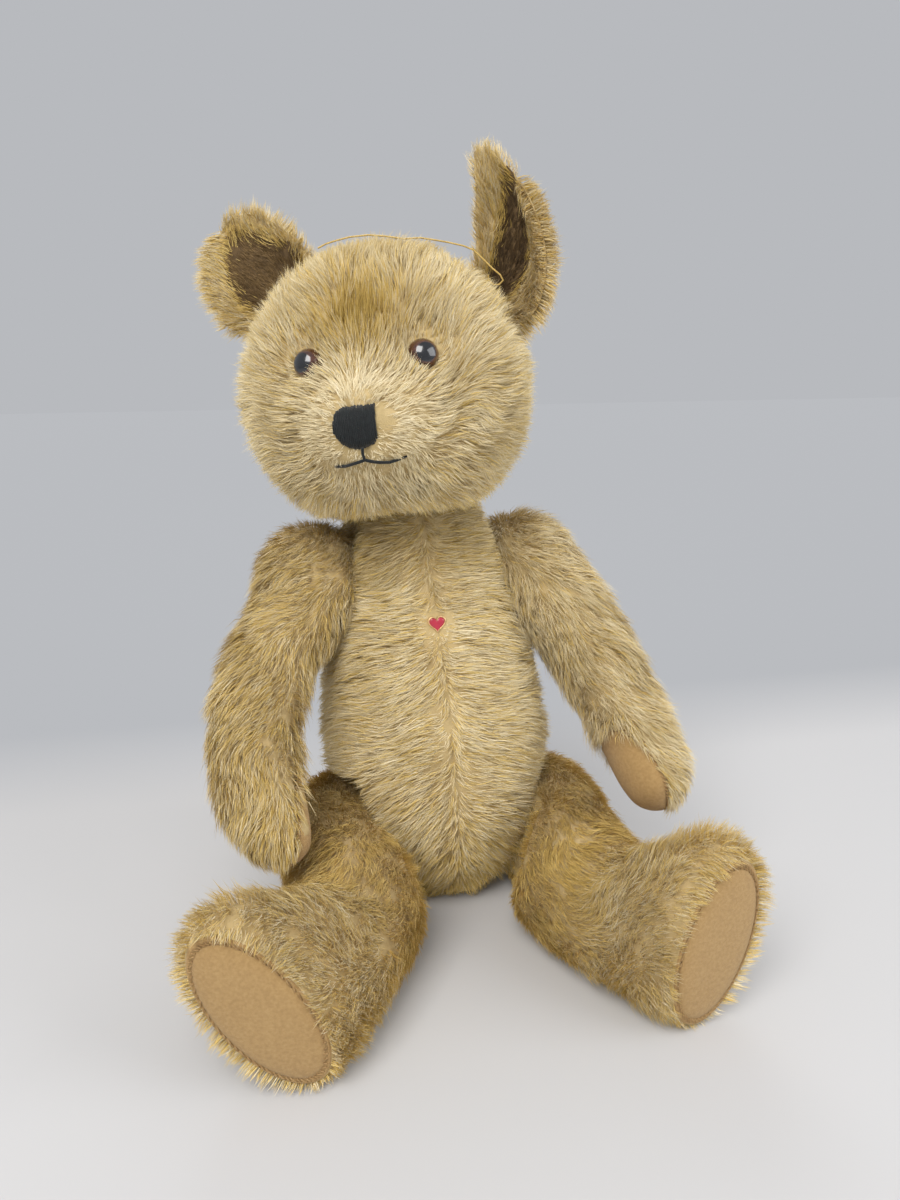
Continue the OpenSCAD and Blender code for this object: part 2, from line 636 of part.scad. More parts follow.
torso_panel_right();
torso_panel_left();
torso_stuffing();
torso_closing_stitches();
heart_pin_rim();
heart_pin_enamel();
heart_pin_clutch();
along(neck_frame) torso_disc(neck_disc_r);  // neck_torso_disc
along(shoulder_frame(-1)) torso_disc(shoulder_disc_r);  // shoulder_torso_disc_right
along(shoulder_frame(1)) torso_disc(shoulder_disc_r);  // shoulder_torso_disc_left
along(hip_frame(-1)) torso_disc(hip_disc_r);  // hip_torso_disc_right
along(hip_frame(1)) torso_disc(hip_disc_r);  // hip_torso_disc_left
torso_joint_washers();
head_gusset();
head_side_right();
head_side_left();
head_stuffing();
eye_right();
eye_left();
nose_embroidery();
mouth_embroidery();
ear_front(0);  // ear_front_right
ear_back(0);  // ear_back_right
ear_front(1);  // ear_front_left
ear_back(1);  // ear_back_left
along(neck_frame) limb_disc(neck_disc_r);  // neck_head_disc
along(neck_frame) limb_washer();  // neck_washer
along(neck_frame) split_pin();  // neck_split_pin
tag_thread();
arm_outer(-1);  // arm_outer_right
arm_inner(-1);  // arm_inner_right
paw_pad(-1);  // paw_pad_right
arm_stuffing(-1);  // arm_stuffing_right
along(shoulder_frame(-1)) limb_disc(shoulder_disc_r);  // shoulder_disc_right
along(shoulder_frame(-1)) limb_washer();  // shoulder_washer_right
along(shoulder_frame(-1)) split_pin();  // shoulder_split_pin_right
arm_outer(1);  // arm_outer_left
arm_inner(1);  // arm_inner_left
paw_pad(1);  // paw_pad_left
arm_stuffing(1);  // arm_stuffing_left
along(shoulder_frame(1)) limb_disc(shoulder_disc_r);  // shoulder_disc_left
along(shoulder_frame(1)) limb_washer();  // shoulder_washer_left
along(shoulder_frame(1)) split_pin();  // shoulder_split_pin_left
leg_outer(-1);  // leg_outer_right
leg_inner(-1);  // leg_inner_right
foot_pad(-1);  // foot_pad_right
insole_card(-1);  // insole_card_right
leg_stuffing(-1);  // leg_stuffing_right
along(hip_frame(-1)) limb_disc(hip_disc_r);  // hip_disc_right
along(hip_frame(-1)) limb_washer();  // hip_washer_right
along(hip_frame(-1)) split_pin();  // hip_split_pin_right
leg_outer(1);  // leg_outer_left
leg_inner(1);  // leg_inner_left
foot_pad(1);  // foot_pad_left
insole_card(1);  // insole_card_left
leg_stuffing(1);  // leg_stuffing_left
along(hip_frame(1)) limb_disc(hip_disc_r);  // hip_disc_left
along(hip_frame(1)) limb_washer();  // hip_washer_left
along(hip_frame(1)) split_pin();  // hip_split_pin_left
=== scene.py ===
"""A jointed mohair teddy bear, seated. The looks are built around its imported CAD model.

Lengths are in millimetres until a mesh is made, except the gold thread's route, which is in metres.
The bear faces -Y, +Z is up, and its own left hand is on +X.
"""

import json
import math

import bpy
import numpy as np
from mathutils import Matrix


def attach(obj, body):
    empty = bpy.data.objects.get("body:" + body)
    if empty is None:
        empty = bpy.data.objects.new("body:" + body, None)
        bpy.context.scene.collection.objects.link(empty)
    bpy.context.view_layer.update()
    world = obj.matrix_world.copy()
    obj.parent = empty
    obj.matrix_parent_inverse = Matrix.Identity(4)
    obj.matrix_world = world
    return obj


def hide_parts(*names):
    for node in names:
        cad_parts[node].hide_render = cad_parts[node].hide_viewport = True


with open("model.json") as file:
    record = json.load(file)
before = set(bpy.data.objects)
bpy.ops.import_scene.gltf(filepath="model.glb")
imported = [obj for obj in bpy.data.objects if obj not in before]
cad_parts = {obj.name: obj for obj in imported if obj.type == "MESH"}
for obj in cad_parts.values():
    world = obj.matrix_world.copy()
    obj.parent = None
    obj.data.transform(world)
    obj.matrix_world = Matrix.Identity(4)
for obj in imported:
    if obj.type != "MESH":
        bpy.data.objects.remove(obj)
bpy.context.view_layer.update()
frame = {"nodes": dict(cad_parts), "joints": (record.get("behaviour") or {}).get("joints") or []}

MM = 0.001
RIGHT, LEFT = -1, 1
SIDE_NAME = {RIGHT: "right", LEFT: "left"}
UP = np.array([0.0, 0.0, 1.0])
rng = np.random.default_rng(1911)


# ---- camera, lights and floor ----
def make_camera():
    camera = bpy.data.objects.new("camera", bpy.data.cameras.new("camera"))
    camera.data.lens = 28
    camera.data.sensor_width = 36
    camera.location = (-0.0952, -0.4480, 0.305)
    camera.rotation_euler = (math.radians(73.3), 0, math.radians(-12))
    bpy.context.collection.objects.link(camera)
    bpy.context.scene.camera = camera


def make_light(name, place, aim, size, power, colour):
    light = bpy.data.objects.new(name, bpy.data.lights.new(name, "AREA"))
    light.data.size = size
    light.data.energy = power
    light.data.color = colour
    light.location = place
    way = np.array(aim) - np.array(place)
    light.rotation_euler = (
        math.atan2(math.hypot(way[0], way[1]), -way[2]),
        0,
        math.atan2(-way[0], way[1]),
    )
    bpy.context.collection.objects.link(light)


WALL = (184, 186, 190)


def floor_material():
    """Pale under the bear. Far from it the floor takes the wall's own light, as a sweep of paper does."""
    m, shader = new_material("floor_paper", 0.9, {"Emission Strength": 1.0, "Specular IOR Level": 0.1})
    nodes, links = m.node_tree.nodes, m.node_tree.links
    coords = nodes.new("ShaderNodeTexCoord")
    split = nodes.new("ShaderNodeSeparateXYZ")
    links.new(coords.outputs["Object"], split.inputs["Vector"])
    far = nodes.new("ShaderNodeMapRange")
    far.inputs["From Min"].default_value = -1.0
    far.inputs["From Max"].default_value = 1.0
    links.new(split.outputs["Y"], far.inputs["Value"])
    black, paper = (0, 0, 0), (198, 197, 197)
    lit = [(0.02, black), (0.2, paper), (0.565, paper), (0.63, black)]
    own = [(0.02, WALL), (0.2, black), (0.565, black), (0.63, WALL)]
    for socket, stops in (("Base Color", lit), ("Emission Color", own)):
        ramp = nodes.new("ShaderNodeValToRGB")
        marks = ramp.color_ramp.elements
        while len(marks) < len(stops):
            marks.new(0.5)
        for mark, (place, rgb) in zip(marks, stops):
            mark.position = place
            mark.color = linear(rgb)
        links.new(far.outputs["Result"], ramp.inputs["Fac"])
        links.new(ramp.outputs["Color"], shader.inputs[socket])
    return m


FLOOR_HALF = 3.0


def make_studio():
    middle = (0, 0, 0.18)
    make_light("key", (-0.55, -0.9, 1.25), middle, 0.9, 20, (1.0, 0.985, 0.96))
    make_light("fill", (1.1, -0.7, 0.8), middle, 1.0, 9, (0.98, 0.99, 1.0))
    make_light("back", (0.2, 1.2, 0.9), middle, 1.0, 6, (1.0, 1.0, 1.0))
    world = bpy.data.worlds.new("studio")
    world.use_nodes = True
    background = world.node_tree.nodes["Background"]
    background.inputs["Color"].default_value = linear(WALL)
    background.inputs["Strength"].default_value = 1.0
    bpy.context.scene.world = world
    bpy.context.scene.view_settings.view_transform = "Standard"
    half = FLOOR_HALF
    mesh = bpy.data.meshes.new("floor")
    mesh.from_pydata(
        [(-half, -half, 0), (half, -half, 0), (half, half, 0), (-half, half, 0)],
        [],
        [(0, 1, 2, 3)],
    )
    floor = bpy.data.objects.new("floor", mesh)
    bpy.context.collection.objects.link(floor)
    mesh.materials.append(floor_material())


# ---- materials ----
def linear(rgb):
    """Linear light values of a colour given as three numbers from 0 to 255."""
    c = np.array(rgb) / 255
    return (*np.where(c <= 0.04045, c / 12.92, ((c + 0.055) / 1.055) ** 2.4), 1.0)


def new_material(name, roughness, sockets):
    m = bpy.data.materials.new(name)
    m.use_nodes = True
    shader = m.node_tree.nodes["Principled BSDF"]
    shader.inputs["Roughness"].default_value = roughness
    for socket, value in sockets.items():
        shader.inputs[socket].default_value = value
    return m, shader


def plain(name, rgb, roughness=0.5, **sockets):
    """One colour. Used for the strands of pile, where each strand takes its own shade."""
    m, shader = new_material(name, roughness, sockets)
    shader.inputs["Base Color"].default_value = linear(rgb)
    return m


def grained(name, colours, scale, stretch=(1, 1, 1), roughness=0.8, bump=0.3, bump_scale=None,
            bump_depth=0.0003, **sockets):
    """A surface whose colour wanders between the given colours, with a finer bump. scale is per 10 cm."""
    m, shader = new_material(name, roughness, sockets)
    nodes, links = m.node_tree.nodes, m.node_tree.links
    coords = nodes.new("ShaderNodeTexCoord")
    mapping = nodes.new("ShaderNodeMapping")
    mapping.inputs["Scale"].default_value = [10 * s for s in stretch]
    links.new(coords.outputs["Object"], mapping.inputs["Vector"])
    noise = nodes.new("ShaderNodeTexNoise")
    noise.inputs["Scale"].default_value = scale
    noise.inputs["Detail"].default_value = 5
    links.new(mapping.outputs["Vector"], noise.inputs["Vector"])
    ramp = nodes.new("ShaderNodeValToRGB")
    marks = ramp.color_ramp.elements
    while len(marks) < len(colours):
        marks.new(0.5)
    for i, (mark, rgb) in enumerate(zip(marks, colours)):
        mark.position = 0.3 + 0.4 * i / (len(colours) - 1)
        mark.color = linear(rgb)
    links.new(noise.outputs["Fac"], ramp.inputs["Fac"])
    links.new(ramp.outputs["Color"], shader.inputs["Base Color"])
    fine = nodes.new("ShaderNodeTexNoise")
    fine.inputs["Scale"].default_value = bump_scale or scale * 6
    fine.inputs["Detail"].default_value = 3
    links.new(mapping.outputs["Vector"], fine.inputs["Vector"])
    relief = nodes.new("ShaderNodeBump")
    relief.inputs["Strength"].default_value = bump
    relief.inputs["Distance"].default_value = bump_depth
    links.new(fine.outputs["Fac"], relief.inputs["Height"])
    links.new(relief.outputs["Normal"], shader.inputs["Normal"])
    return m


# Shades of the pile from the deepest to the palest: aged cream, golden mohair and the brown of the ears
CREAM = [(160, 138, 94), (175, 153, 108), (189, 168, 123), (202, 183, 138), (214, 196, 153),
         (224, 208, 168), (233, 219, 182), (241, 229, 198), (248, 239, 213)]
GOLD = [(152, 124, 58), (168, 139, 68), (183, 153, 79), (197, 167, 92), (210, 180, 105),
        (221, 193, 119), (230, 205, 135), (238, 216, 152), (245, 227, 172)]
BROWN = [(52, 38, 20), (64, 48, 27), (77, 59, 34), (91, 71, 42), (106, 83, 50), (122, 97, 60),
         (139, 112, 72), (157, 129, 86), (176, 147, 101)]
pile_materials = [
    plain(f"pile_{kind}_{i}", rgb, 0.6, **{"Sheen Weight": 0.1, "Sheen Roughness": 0.4,
                                           "Specular IOR Level": 0.3})
    for kind, shades in (("cream", CREAM), ("gold", GOLD), ("brown", BROWN))
    for i, rgb in enumerate(shades)
]
backing = grained("mohair_backing", [(178, 155, 107), (196, 173, 126)], 22, bump=0.6,
                  bump_scale=160, bump_depth=0.0006, roughness=0.95)
ear_cloth = grained("ear_lining_cloth", [(78, 60, 36), (104, 82, 52)], 40, bump=0.5, bump_scale=200,
                    roughness=0.95)
felt = grained("pad_felt", [(166, 132, 83), (175, 141, 90), (182, 149, 98)], 70, roughness=0.95,
               bump=0.8, bump_scale=420, bump_depth=0.0004, **{"Sheen Weight": 0.15})
black_thread = grained("black_thread", [(8, 11, 12), (20, 27, 28)], 60, roughness=0.6, bump=0.8,
                       bump_scale=500, **{"Specular IOR Level": 0.3, "Sheen Weight": 0.15})
felt_thread = grained("felt_thread", [(148, 116, 72), (176, 144, 98)], 60, bump=0.6, bump_scale=500)
enamel = grained("pin_enamel", [(164, 30, 52), (184, 42, 66)], 30, roughness=0.25, bump=0.05,
                 **{"Coat Weight": 0.8, "Coat Roughness": 0.08})
pin_gold = grained("pin_gold", [(228, 190, 138), (246, 216, 170)], 60, roughness=0.4, bump=0.1,
                   Metallic=1.0)
gold_thread = grained("gold_thread", [(176, 140, 66), (236, 206, 124)], 300, roughness=0.4, bump=0.6,
                      bump_scale=900, Metallic=0.2)
eye_iris = grained("eye_iris", [(48, 24, 14), (88, 50, 32)], 50, roughness=0.25, bump=0.0,
                   **{"Coat Weight": 1.0, "Coat Roughness": 0.03})
eye_pupil = grained("eye_pupil", [(8, 9, 13), (20, 22, 28)], 50, roughness=0.2, bump=0.0,
                    **{"Coat Weight": 1.0, "Coat Roughness": 0.03})
fibreboard = grained("fibreboard", [(86, 60, 36), (118, 86, 54)], 60, roughness=0.85, bump=0.4)
pin_steel = grained("pin_steel", [(126, 122, 116), (168, 166, 162)], 80, roughness=0.35, bump=0.2,
                    Metallic=1.0)
card = grained("insole_card", [(150, 138, 116), (172, 160, 138)], 50, bump=0.3)
back_thread = grained("back_thread", [(150, 120, 72), (182, 152, 100)], 90, bump=0.6, bump_scale=600)


# ---- numbers and vectors ----
def unit(v):
    return v / np.maximum(np.linalg.norm(v, axis=-1, keepdims=True), 1e-9)


def dot(a, b):
    return (a * b).sum(-1, keepdims=True)


def smooth(x):
    """0 below 0, 1 above 1, and a smooth step between."""
    x = np.clip(x, 0, 1)
    return x * x * (3 - 2 * x)


def between(table, t):
    """Rows of a station table at places t, counted in rows, on a smooth curve through the rows."""
    rows = np.asarray(table, float)
    last = len(rows) - 1
    t = np.clip(t, 0, last - 1e-6)
    i = np.floor(t).astype(int)
    f = (t - i)[:, None]
    a, b = rows[np.maximum(i - 1, 0)], rows[i]
    c, d = rows[i + 1], rows[np.minimum(i + 2, last)]
    return b + 0.5 * f * (c - a + f * (2 * a - 5 * b + 4 * c - d + f * (3 * (b - c) + d - a)))


def ripple(p, size, seed):
    """Smooth noise from about -1 to 1 at points p. size is its wavelength."""
    waves = np.random.default_rng(seed)
    ways = unit(waves.normal(size=(7, 3))) * 2 * math.pi / size * waves.uniform(0.6, 1.6, (7, 1))
    return np.sin(p @ ways.T + waves.uniform(0, 2 * math.pi, 7)).sum(1) / 3


def keep_behind(p, origin, way, gap=0.0):
    """p, with what lies beyond a plane brought back to it. gap is the plane's distance along way."""
    beyond = np.maximum((p - origin) @ way - gap, 0)
    return p - beyond[:, None] * way


def keep_above(p, height):
    return np.column_stack([p[:, :2], np.maximum(p[:, 2], height)])


# ---- joints ----
joints = {j["name"]: j for j in frame["joints"]}


class Frame:
    """A place with three directions: x, y and z of the points given in it."""

    def __init__(self, origin, x, y, z):
        self.origin, self.x, self.y, self.z = (np.array(v, float) for v in (origin, x, y, z))

    def world(self, x, y, z):
        x, y, z = (np.asarray(v, float)[..., None] for v in (x, y, z))
        return self.origin + x * self.x + y * self.y + z * self.z


def limb_frame(joint, side, droop):
    """x outwards along the joint's axis, y along the limb and z across both."""
    out = -side * np.array(joints[joint]["axis"])
    up = unit(UP - (UP @ out) * out)
    ahead = side * np.cross(out, up)
    ahead = ahead if ahead[1] < 0 else -ahead
    c, s = math.cos(math.radians(droop)), math.sin(math.radians(droop))
    return Frame(np.array(joints[joint]["pos_m"]) / MM, out, c * ahead - s * up, c * up + s * ahead)


JOINT_GAP = 0.6  # between the cloths of two bodies
ARM_DROOP = 46
shoulders = {s: limb_frame(f"{SIDE_NAME[s]}_shoulder", s, ARM_DROOP) for s in (RIGHT, LEFT)}
hips = {s: limb_frame(f"{SIDE_NAME[s]}_hip", s, 0) for s in (RIGHT, LEFT)}
neck_at = np.array(joints["neck"]["pos_m"]) / MM
torso_axis = np.array(joints["neck"]["axis"])
torso_front = -unit(np.cross(torso_axis, [1, 0, 0]))
torso_side = -np.cross(torso_front, torso_axis)


# ---- surfaces ----
class Surface:
    """A surface of points(u, a): u is counted in rows of its table and a in turns round it."""

    def __init__(self, points, last, keep, outward=None, overlap=3.0):
        self.points, self.last, self.keep, self.outward = points, last, keep, outward
        self.overlap = overlap  # how far its strands reach into the pile beyond a joint's plane

    def at(self, u, a):
        """Points, outward normals and the two ways along the surface, in mm for one row and one turn."""
        du, da = 0.01, 0.002
        u = np.clip(u, 0.03, self.last - 0.03)
        p = self.points(u, a)
        tu = (self.points(u + du, a) - self.points(u - du, a)) / (2 * du)
        ta = (self.points(u, a + da) - self.points(u, a - da)) / (2 * da)
        n = unit(np.cross(tu, ta))
        if self.outward is None:
            out = p - self.points(u, a + 0.5)
        else:
            out = np.broadcast_to(self.outward, n.shape)
        n = n * np.where(dot(n, out) < 0, -1, 1)
        return p, n, tu, ta


TORSO_HALF_W = 56
TORSO_HALF_D = 48
SEAT_DROP = 4
# Part of the torso's length, half width, half depth and shift to the front
TORSO_STATIONS = [
    (0, 0, 0, -0.12), (0, 0.05, 0.05, -0.12), (0.01, 0.20, 0.24, -0.12), (0.04, 0.38, 0.44, -0.10),
    (0.085, 0.54, 0.60, -0.06), (0.15, 0.72, 0.77, 0), (0.23, 0.88, 0.90, 0.04),
    (0.33, 0.97, 0.98, 0.07), (0.44, 1, 1, 0.07), (0.55, 0.98, 0.98, 0.05),
    (0.66, 0.94, 0.93, 0.02), (0.77, 0.90, 0.86, -0.01), (0.86, 0.86, 0.79, -0.02),
    (0.93, 0.79, 0.71, -0.01), (0.97, 0.70, 0.65, 0), (0.99, 0.60, 0.60, 0),
    (1, 0.52, 0.52, 0), (1, 0.3, 0.3, 0), (1, 0, 0, 0)]
HIP_FLAT_R = 50
HIP_FLAT_TOP = 42
HIP_FULL_R = 27
HIP_FULL_DEPTH = 10
torso_seat = np.array([0, 0, -SEAT_DROP], float)
torso_reach = neck_at - torso_seat


def keep_in_torso(p, over=0.0):
    """Points of the torso stay behind the planes of its joints and above the surface it sits on.
    over is how far they may pass the planes."""
    for side in (RIGHT, LEFT):
        p = keep_behind(p, shoulders[side].origin, shoulders[side].x, over)
        hip = hips[side]
        e = p - hip.origin
        out = e @ hip.x
        r = np.linalg.norm(e - out[:, None] * hip.x, axis=1)
        flat = (r < HIP_FLAT_R) & (e @ hip.z < HIP_FLAT_TOP)
        p = np.where(flat[:, None], keep_behind(p, hip.origin, hip.x, over), p)
    return keep_above(keep_behind(p, neck_at, torso_axis, over), 0)


def fill_to_hips(p):
    """Near the hip joints the stuffing fills the torso out to the joint's plane."""
    for side in (RIGHT, LEFT):
        hip = hips[side]
        e = p - hip.origin
        out = e @ hip.x
        r = np.linalg.norm(e - out[:, None] * hip.x, axis=1)
        full = (r < HIP_FULL_R) & (out > -HIP_FULL_DEPTH)
        p = p - np.where(full, out, 0)[:, None] * hip.x
    return p


def torso_points(u, a):
    k, w, d, shift = between(TORSO_STATIONS, u).T[..., None]
    turn = 2 * math.pi * a[:, None]
    p = torso_seat + k * torso_reach + TORSO_HALF_W * w * np.sin(turn) * torso_side
    p = p + TORSO_HALF_D * (d * np.cos(turn) + shift) * torso_front
    return keep_in_torso(fill_to_hips(p))


torso = Surface(torso_points, len(TORSO_STATIONS) - 1, keep_in_torso)
HEART_ROW = 11
HEART_DROP = 13
HEART_OUT = 4.2
heart_frame = Frame(
    torso_points(np.array([HEART_ROW]), np.array([0.0]))[0] - HEART_DROP * UP + HEART_OUT * torso_front,
    torso_side, torso_axis, torso_front)

# Place along the limb, centre outwards, half thickness, top and bottom
ARM_STATIONS = [
    (-27, 20, 0, 0, 0), (-27, 20, 3, 3, -3), (-25, 19, 10, 10, -11), (-19, 17, 19, 19, -19),
    (-9, 17, 24.5, 25, -24), (6, 18.5, 26, 28, -26), (25, 21.5, 23.5, 28, -25),
    (50, 24, 20, 25, -24),
    (75, 24, 19, 22, -24), (92, 24, 17.5, 21, -23), (106, 24, 17, 21, -22),
    (120, 24, 17, 22, -21), (134, 24, 16, 21, -19), (145, 24, 13, 18, -15),
    (151, 24, 8, 12, -9), (154, 24, 2.5, 5, -2), (154.5, 24, 0, 1.5, 1.5)]
ARM_LEN = 150
ARM_BOW = {RIGHT: 17, LEFT: 5}
ARM_TWIST = {RIGHT: -22, LEFT: 0}
BOW_START = 20
WRIST = 10  # row where the felt of a paw begins


def limb_points(f, side, rows, a, shift, twist):
    s, centre, half, top, bottom = rows.T
    turn = -side * 2 * math.pi * a
    x = half * np.sin(turn)
    z = (top - bottom) / 2 * np.cos(turn) + (top + bottom) / 2
    c, w = np.cos(twist), np.sin(twist)
    return f.world(centre + shift + x * c + z * w, s, z * c - x * w)


def arm_surface(side):
    f = shoulders[side]

    def keep(p, over=0.0):
        return keep_behind(p, f.origin, -f.x, over - JOINT_GAP)

    def points(u, a):
        rows = between(ARM_STATIONS, u)
        rows[:, 0] = np.where(rows[:, 0] > 0, rows[:, 0] * ARM_LEN / 154, rows[:, 0])
        bent = np.clip((rows[:, 0] - BOW_START) / (ARM_LEN - BOW_START), 0, 1)
        bow = ARM_BOW[side] * np.sin(math.pi * bent)
        twist = math.radians(ARM_TWIST[side]) * np.minimum(1, 1.6 * bent)
        return keep(limb_points(f, side, rows, a, bow, twist))

    return Surface(points, len(ARM_STATIONS) - 1, keep)


LEG_STATIONS = [
    (-34, 23, 0, 0, 0), (-34, 23, 3, 4, -4), (-32, 22, 12, 12, -12), (-26, 20.5, 20.5, 21, -21),
    (-15, 20.5, 27.5, 29, -32), (0, 22, 30, 33, -37), (18, 22.5, 29.5, 34, -37),
    (38, 16, 30, 34, -37),
    (58, 9, 31, 33, -37), (76, 7, 29, 31, -36), (94, 9, 26, 30, -34), (108, 13, 24, 34, -33),
    (121, 17, 23.5, 44, -32), (132, 20, 23.5, 53, -32), (141, 22, 22.5, 55, -32),
    (148, 23.5, 20, 52, -30)]
LEG_LEN = 148
LEG_TWIST = {RIGHT: 25, LEFT: 5}
LEG_SPLAY = {RIGHT: 10, LEFT: 4}
HIP_FLAT = 45
HIP_SWELL = 1.3


def leg_surface(side):
    f = hips[side]

    def keep(p, over=0.0):
        e = p - f.origin
        inner = e @ f.x
        r = np.linalg.norm(e - inner[:, None] * f.x, axis=1)
        low = JOINT_GAP - over - np.maximum(0, r - HIP_FLAT) * HIP_SWELL
        p = p + np.maximum(low - inner, 0)[:, None] * f.x
        return keep_above(p, 0)

    def points(u, a):
        rows = between(LEG_STATIONS, u)
        s = rows[:, 0]
        twist = math.radians(LEG_TWIST[side]) * np.clip((s - 50) / 75, 0, 1)
        splay = LEG_SPLAY[side] * (np.maximum(s, 0) / LEG_LEN) ** 2
        return keep(limb_points(f, side, rows, a, splay, twist))

    return Surface(points, len(LEG_STATIONS) - 1, keep)


arms = {side: arm_surface(side) for side in (RIGHT, LEFT)}
legs = {side: leg_surface(side) for side in (RIGHT, LEFT)}

HEAD_TURN = math.radians(17)
HEAD_TILT = math.radians(5)
HEAD_OFFSET = (-13, -9, 58)  # from the neck joint to the head's centre
HEAD_STATIONS = [
    (-62, 0, 4, 4), (-62, 3, 8, 2), (-60, 19, 25, -17), (-53, 34, 41, -34), (-40, 50, 54, -49),
    (-21, 62, 63, -61), (0, 66, 67, -65), (19, 65, 65, -63), (35, 59, 58, -57), (48, 49, 45, -49),
    (58, 38, 28, -41), (67, 28, 15, -35), (75, 21, 9, -29), (80, 14, 4, -22), (82, 3, -5, -11),
    (82, 0, -8, -8)]
level_left = np.array([math.cos(HEAD_TURN), -math.sin(HEAD_TURN), 0])
head_frame = Frame(
    neck_at + HEAD_OFFSET,
    math.cos(HEAD_TILT) * level_left + math.sin(HEAD_TILT) * UP,
    (-math.sin(HEAD_TURN), -math.cos(HEAD_TURN), 0),
    math.cos(HEAD_TILT) * UP - math.sin(HEAD_TILT) * level_left,
)


NECK_FULL_R = 30
NECK_FULL_SLOPE = 2
NECK_FULL_TOP = 30
NECK_FULL_FADE = 8


def keep_on_head(p, over=0.0):
    return keep_behind(p, neck_at, -torso_axis, over - JOINT_GAP)


def fill_to_neck(p):
    """The head's underside is full round the neck disc."""
    e = p - neck_at
    h = e @ torso_axis
    r = np.linalg.norm(e - h[:, None] * torso_axis, axis=1)
    top = np.maximum((r - NECK_FULL_R) * NECK_FULL_SLOPE, 0) + JOINT_GAP
    fill = np.clip((NECK_FULL_TOP - h) / NECK_FULL_FADE, 0, 1)
    return p + (fill * np.minimum(0, top - h))[:, None] * torso_axis


def head_points(u, a):
    y, half, top, bottom = between(HEAD_STATIONS, u).T
    turn = 2 * math.pi * a
    z = (top - bottom) / 2 * np.cos(turn) + (top + bottom) / 2
    return keep_on_head(fill_to_neck(head_frame.world(-half * np.sin(turn), y, z)))


head = Surface(head_points, len(HEAD_STATIONS) - 1, keep_on_head, overlap=8.0)


def on_head(p):
    """Points of the world in the head's own frame."""
    e = p - head_frame.origin
    return np.column_stack([e @ head_frame.x, e @ head_frame.y, e @ head_frame.z])


# Ears: base, bend and tip of the middle line in the head's frame, and the direction across the base
EAR_LINES = {
    RIGHT: [(-44, -4, 46), (-66, -4, 64), (-80, -9, 87)],
    LEFT: [(52, -4, 37), (82, -8, 64), (67, -4, 100)]}
EAR_ACROSS = {RIGHT: (0.74, 0, 0.67), LEFT: (-0.54, -0.40, 0.74)}
EAR_CUP = {RIGHT: 9, LEFT: 12}
EAR_W = 58
EAR_BLUNT = {RIGHT: 2.6, LEFT: 4.5}
EAR_THICK = 3.6


def ear_surface(side, back):
    """u goes from 0 at the base to 1 at the tip, and a from 0 to 1 across the ear."""
    base, bend, tip = (np.array(p, float) for p in EAR_LINES[side])
    across = unit(np.array(EAR_ACROSS[side], float))
    facing = side * unit(np.cross(across, tip - base))
    order = -side

    def points(u, a):
        v, c = np.clip(u, -0.1, 1)[:, None], (2 * a - 1)[:, None]
        v0 = np.maximum(v, 0)
        half = EAR_W / 2 * np.sqrt(1 - (0.97 * v0) ** EAR_BLUNT[side])
        half = half * (0.74 + 0.26 * np.minimum(1, v0 * 3))
        if side == LEFT:  # the inner edge stands upright, wider at the top than at the base
            half = half * np.where(c < 0, 0.66 + 0.7 * v0, 1)
        middle = (1 - v) ** 2 * base + 2 * v * (1 - v) * bend + v * v * tip
        rim = np.sqrt(np.clip(1 - c**4, 0, 1)) * np.sqrt(np.clip(1 - v0**8, 0, 1))
        depth = EAR_THICK / 2 * (1 + (rim if back else -rim))
        cup = EAR_CUP[side] * ((c * half / (EAR_W / 2)) ** 2 - 0.35 * v0)
        e = middle + order * c * half * across + (cup - depth) * facing
        return head_frame.world(*e.T)

    way = facing[0] * head_frame.x + facing[1] * head_frame.y + facing[2] * head_frame.z
    return Surface(points, 1, keep_on_head, -way if back else way)


# ---- meshes ----
def make_object(name, points, faces, materials, body, slot, shade=None):
    mesh = bpy.data.meshes.new(name)
    mesh.from_pydata((np.asarray(points) * MM).tolist(), [], faces)
    for m in materials:
        mesh.materials.append(m)
    mesh.polygons.foreach_set("use_smooth", [True] * len(mesh.polygons))
    if shade is not None:
        mesh.polygons.foreach_set("material_index", shade)
    mesh.validate()
    mesh.update()
    thing = bpy.data.objects.new(name, mesh)
    bpy.context.collection.objects.link(thing)
    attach(thing, body)
    return thing


def grid_faces(rows, columns, closed=False):
    across = columns if closed else columns - 1
    return [
        (i * columns + j, i * columns + (j + 1) % columns,
         (i + 1) * columns + (j + 1) % columns, (i + 1) * columns + j)
        for i in range(rows - 1)
        for j in range(across)
    ]


SEAM_DEPTH = 1.3
SEAM_W = 2.0


def seam_distance(a, ta, seams):
    """Distance in mm from the nearest of the seams, which run along the rows at these turns."""
    gaps = [np.abs((a - s + 0.5) % 1 - 0.5) for s in seams]
    return np.min(gaps, axis=0) * np.linalg.norm(ta, axis=1)


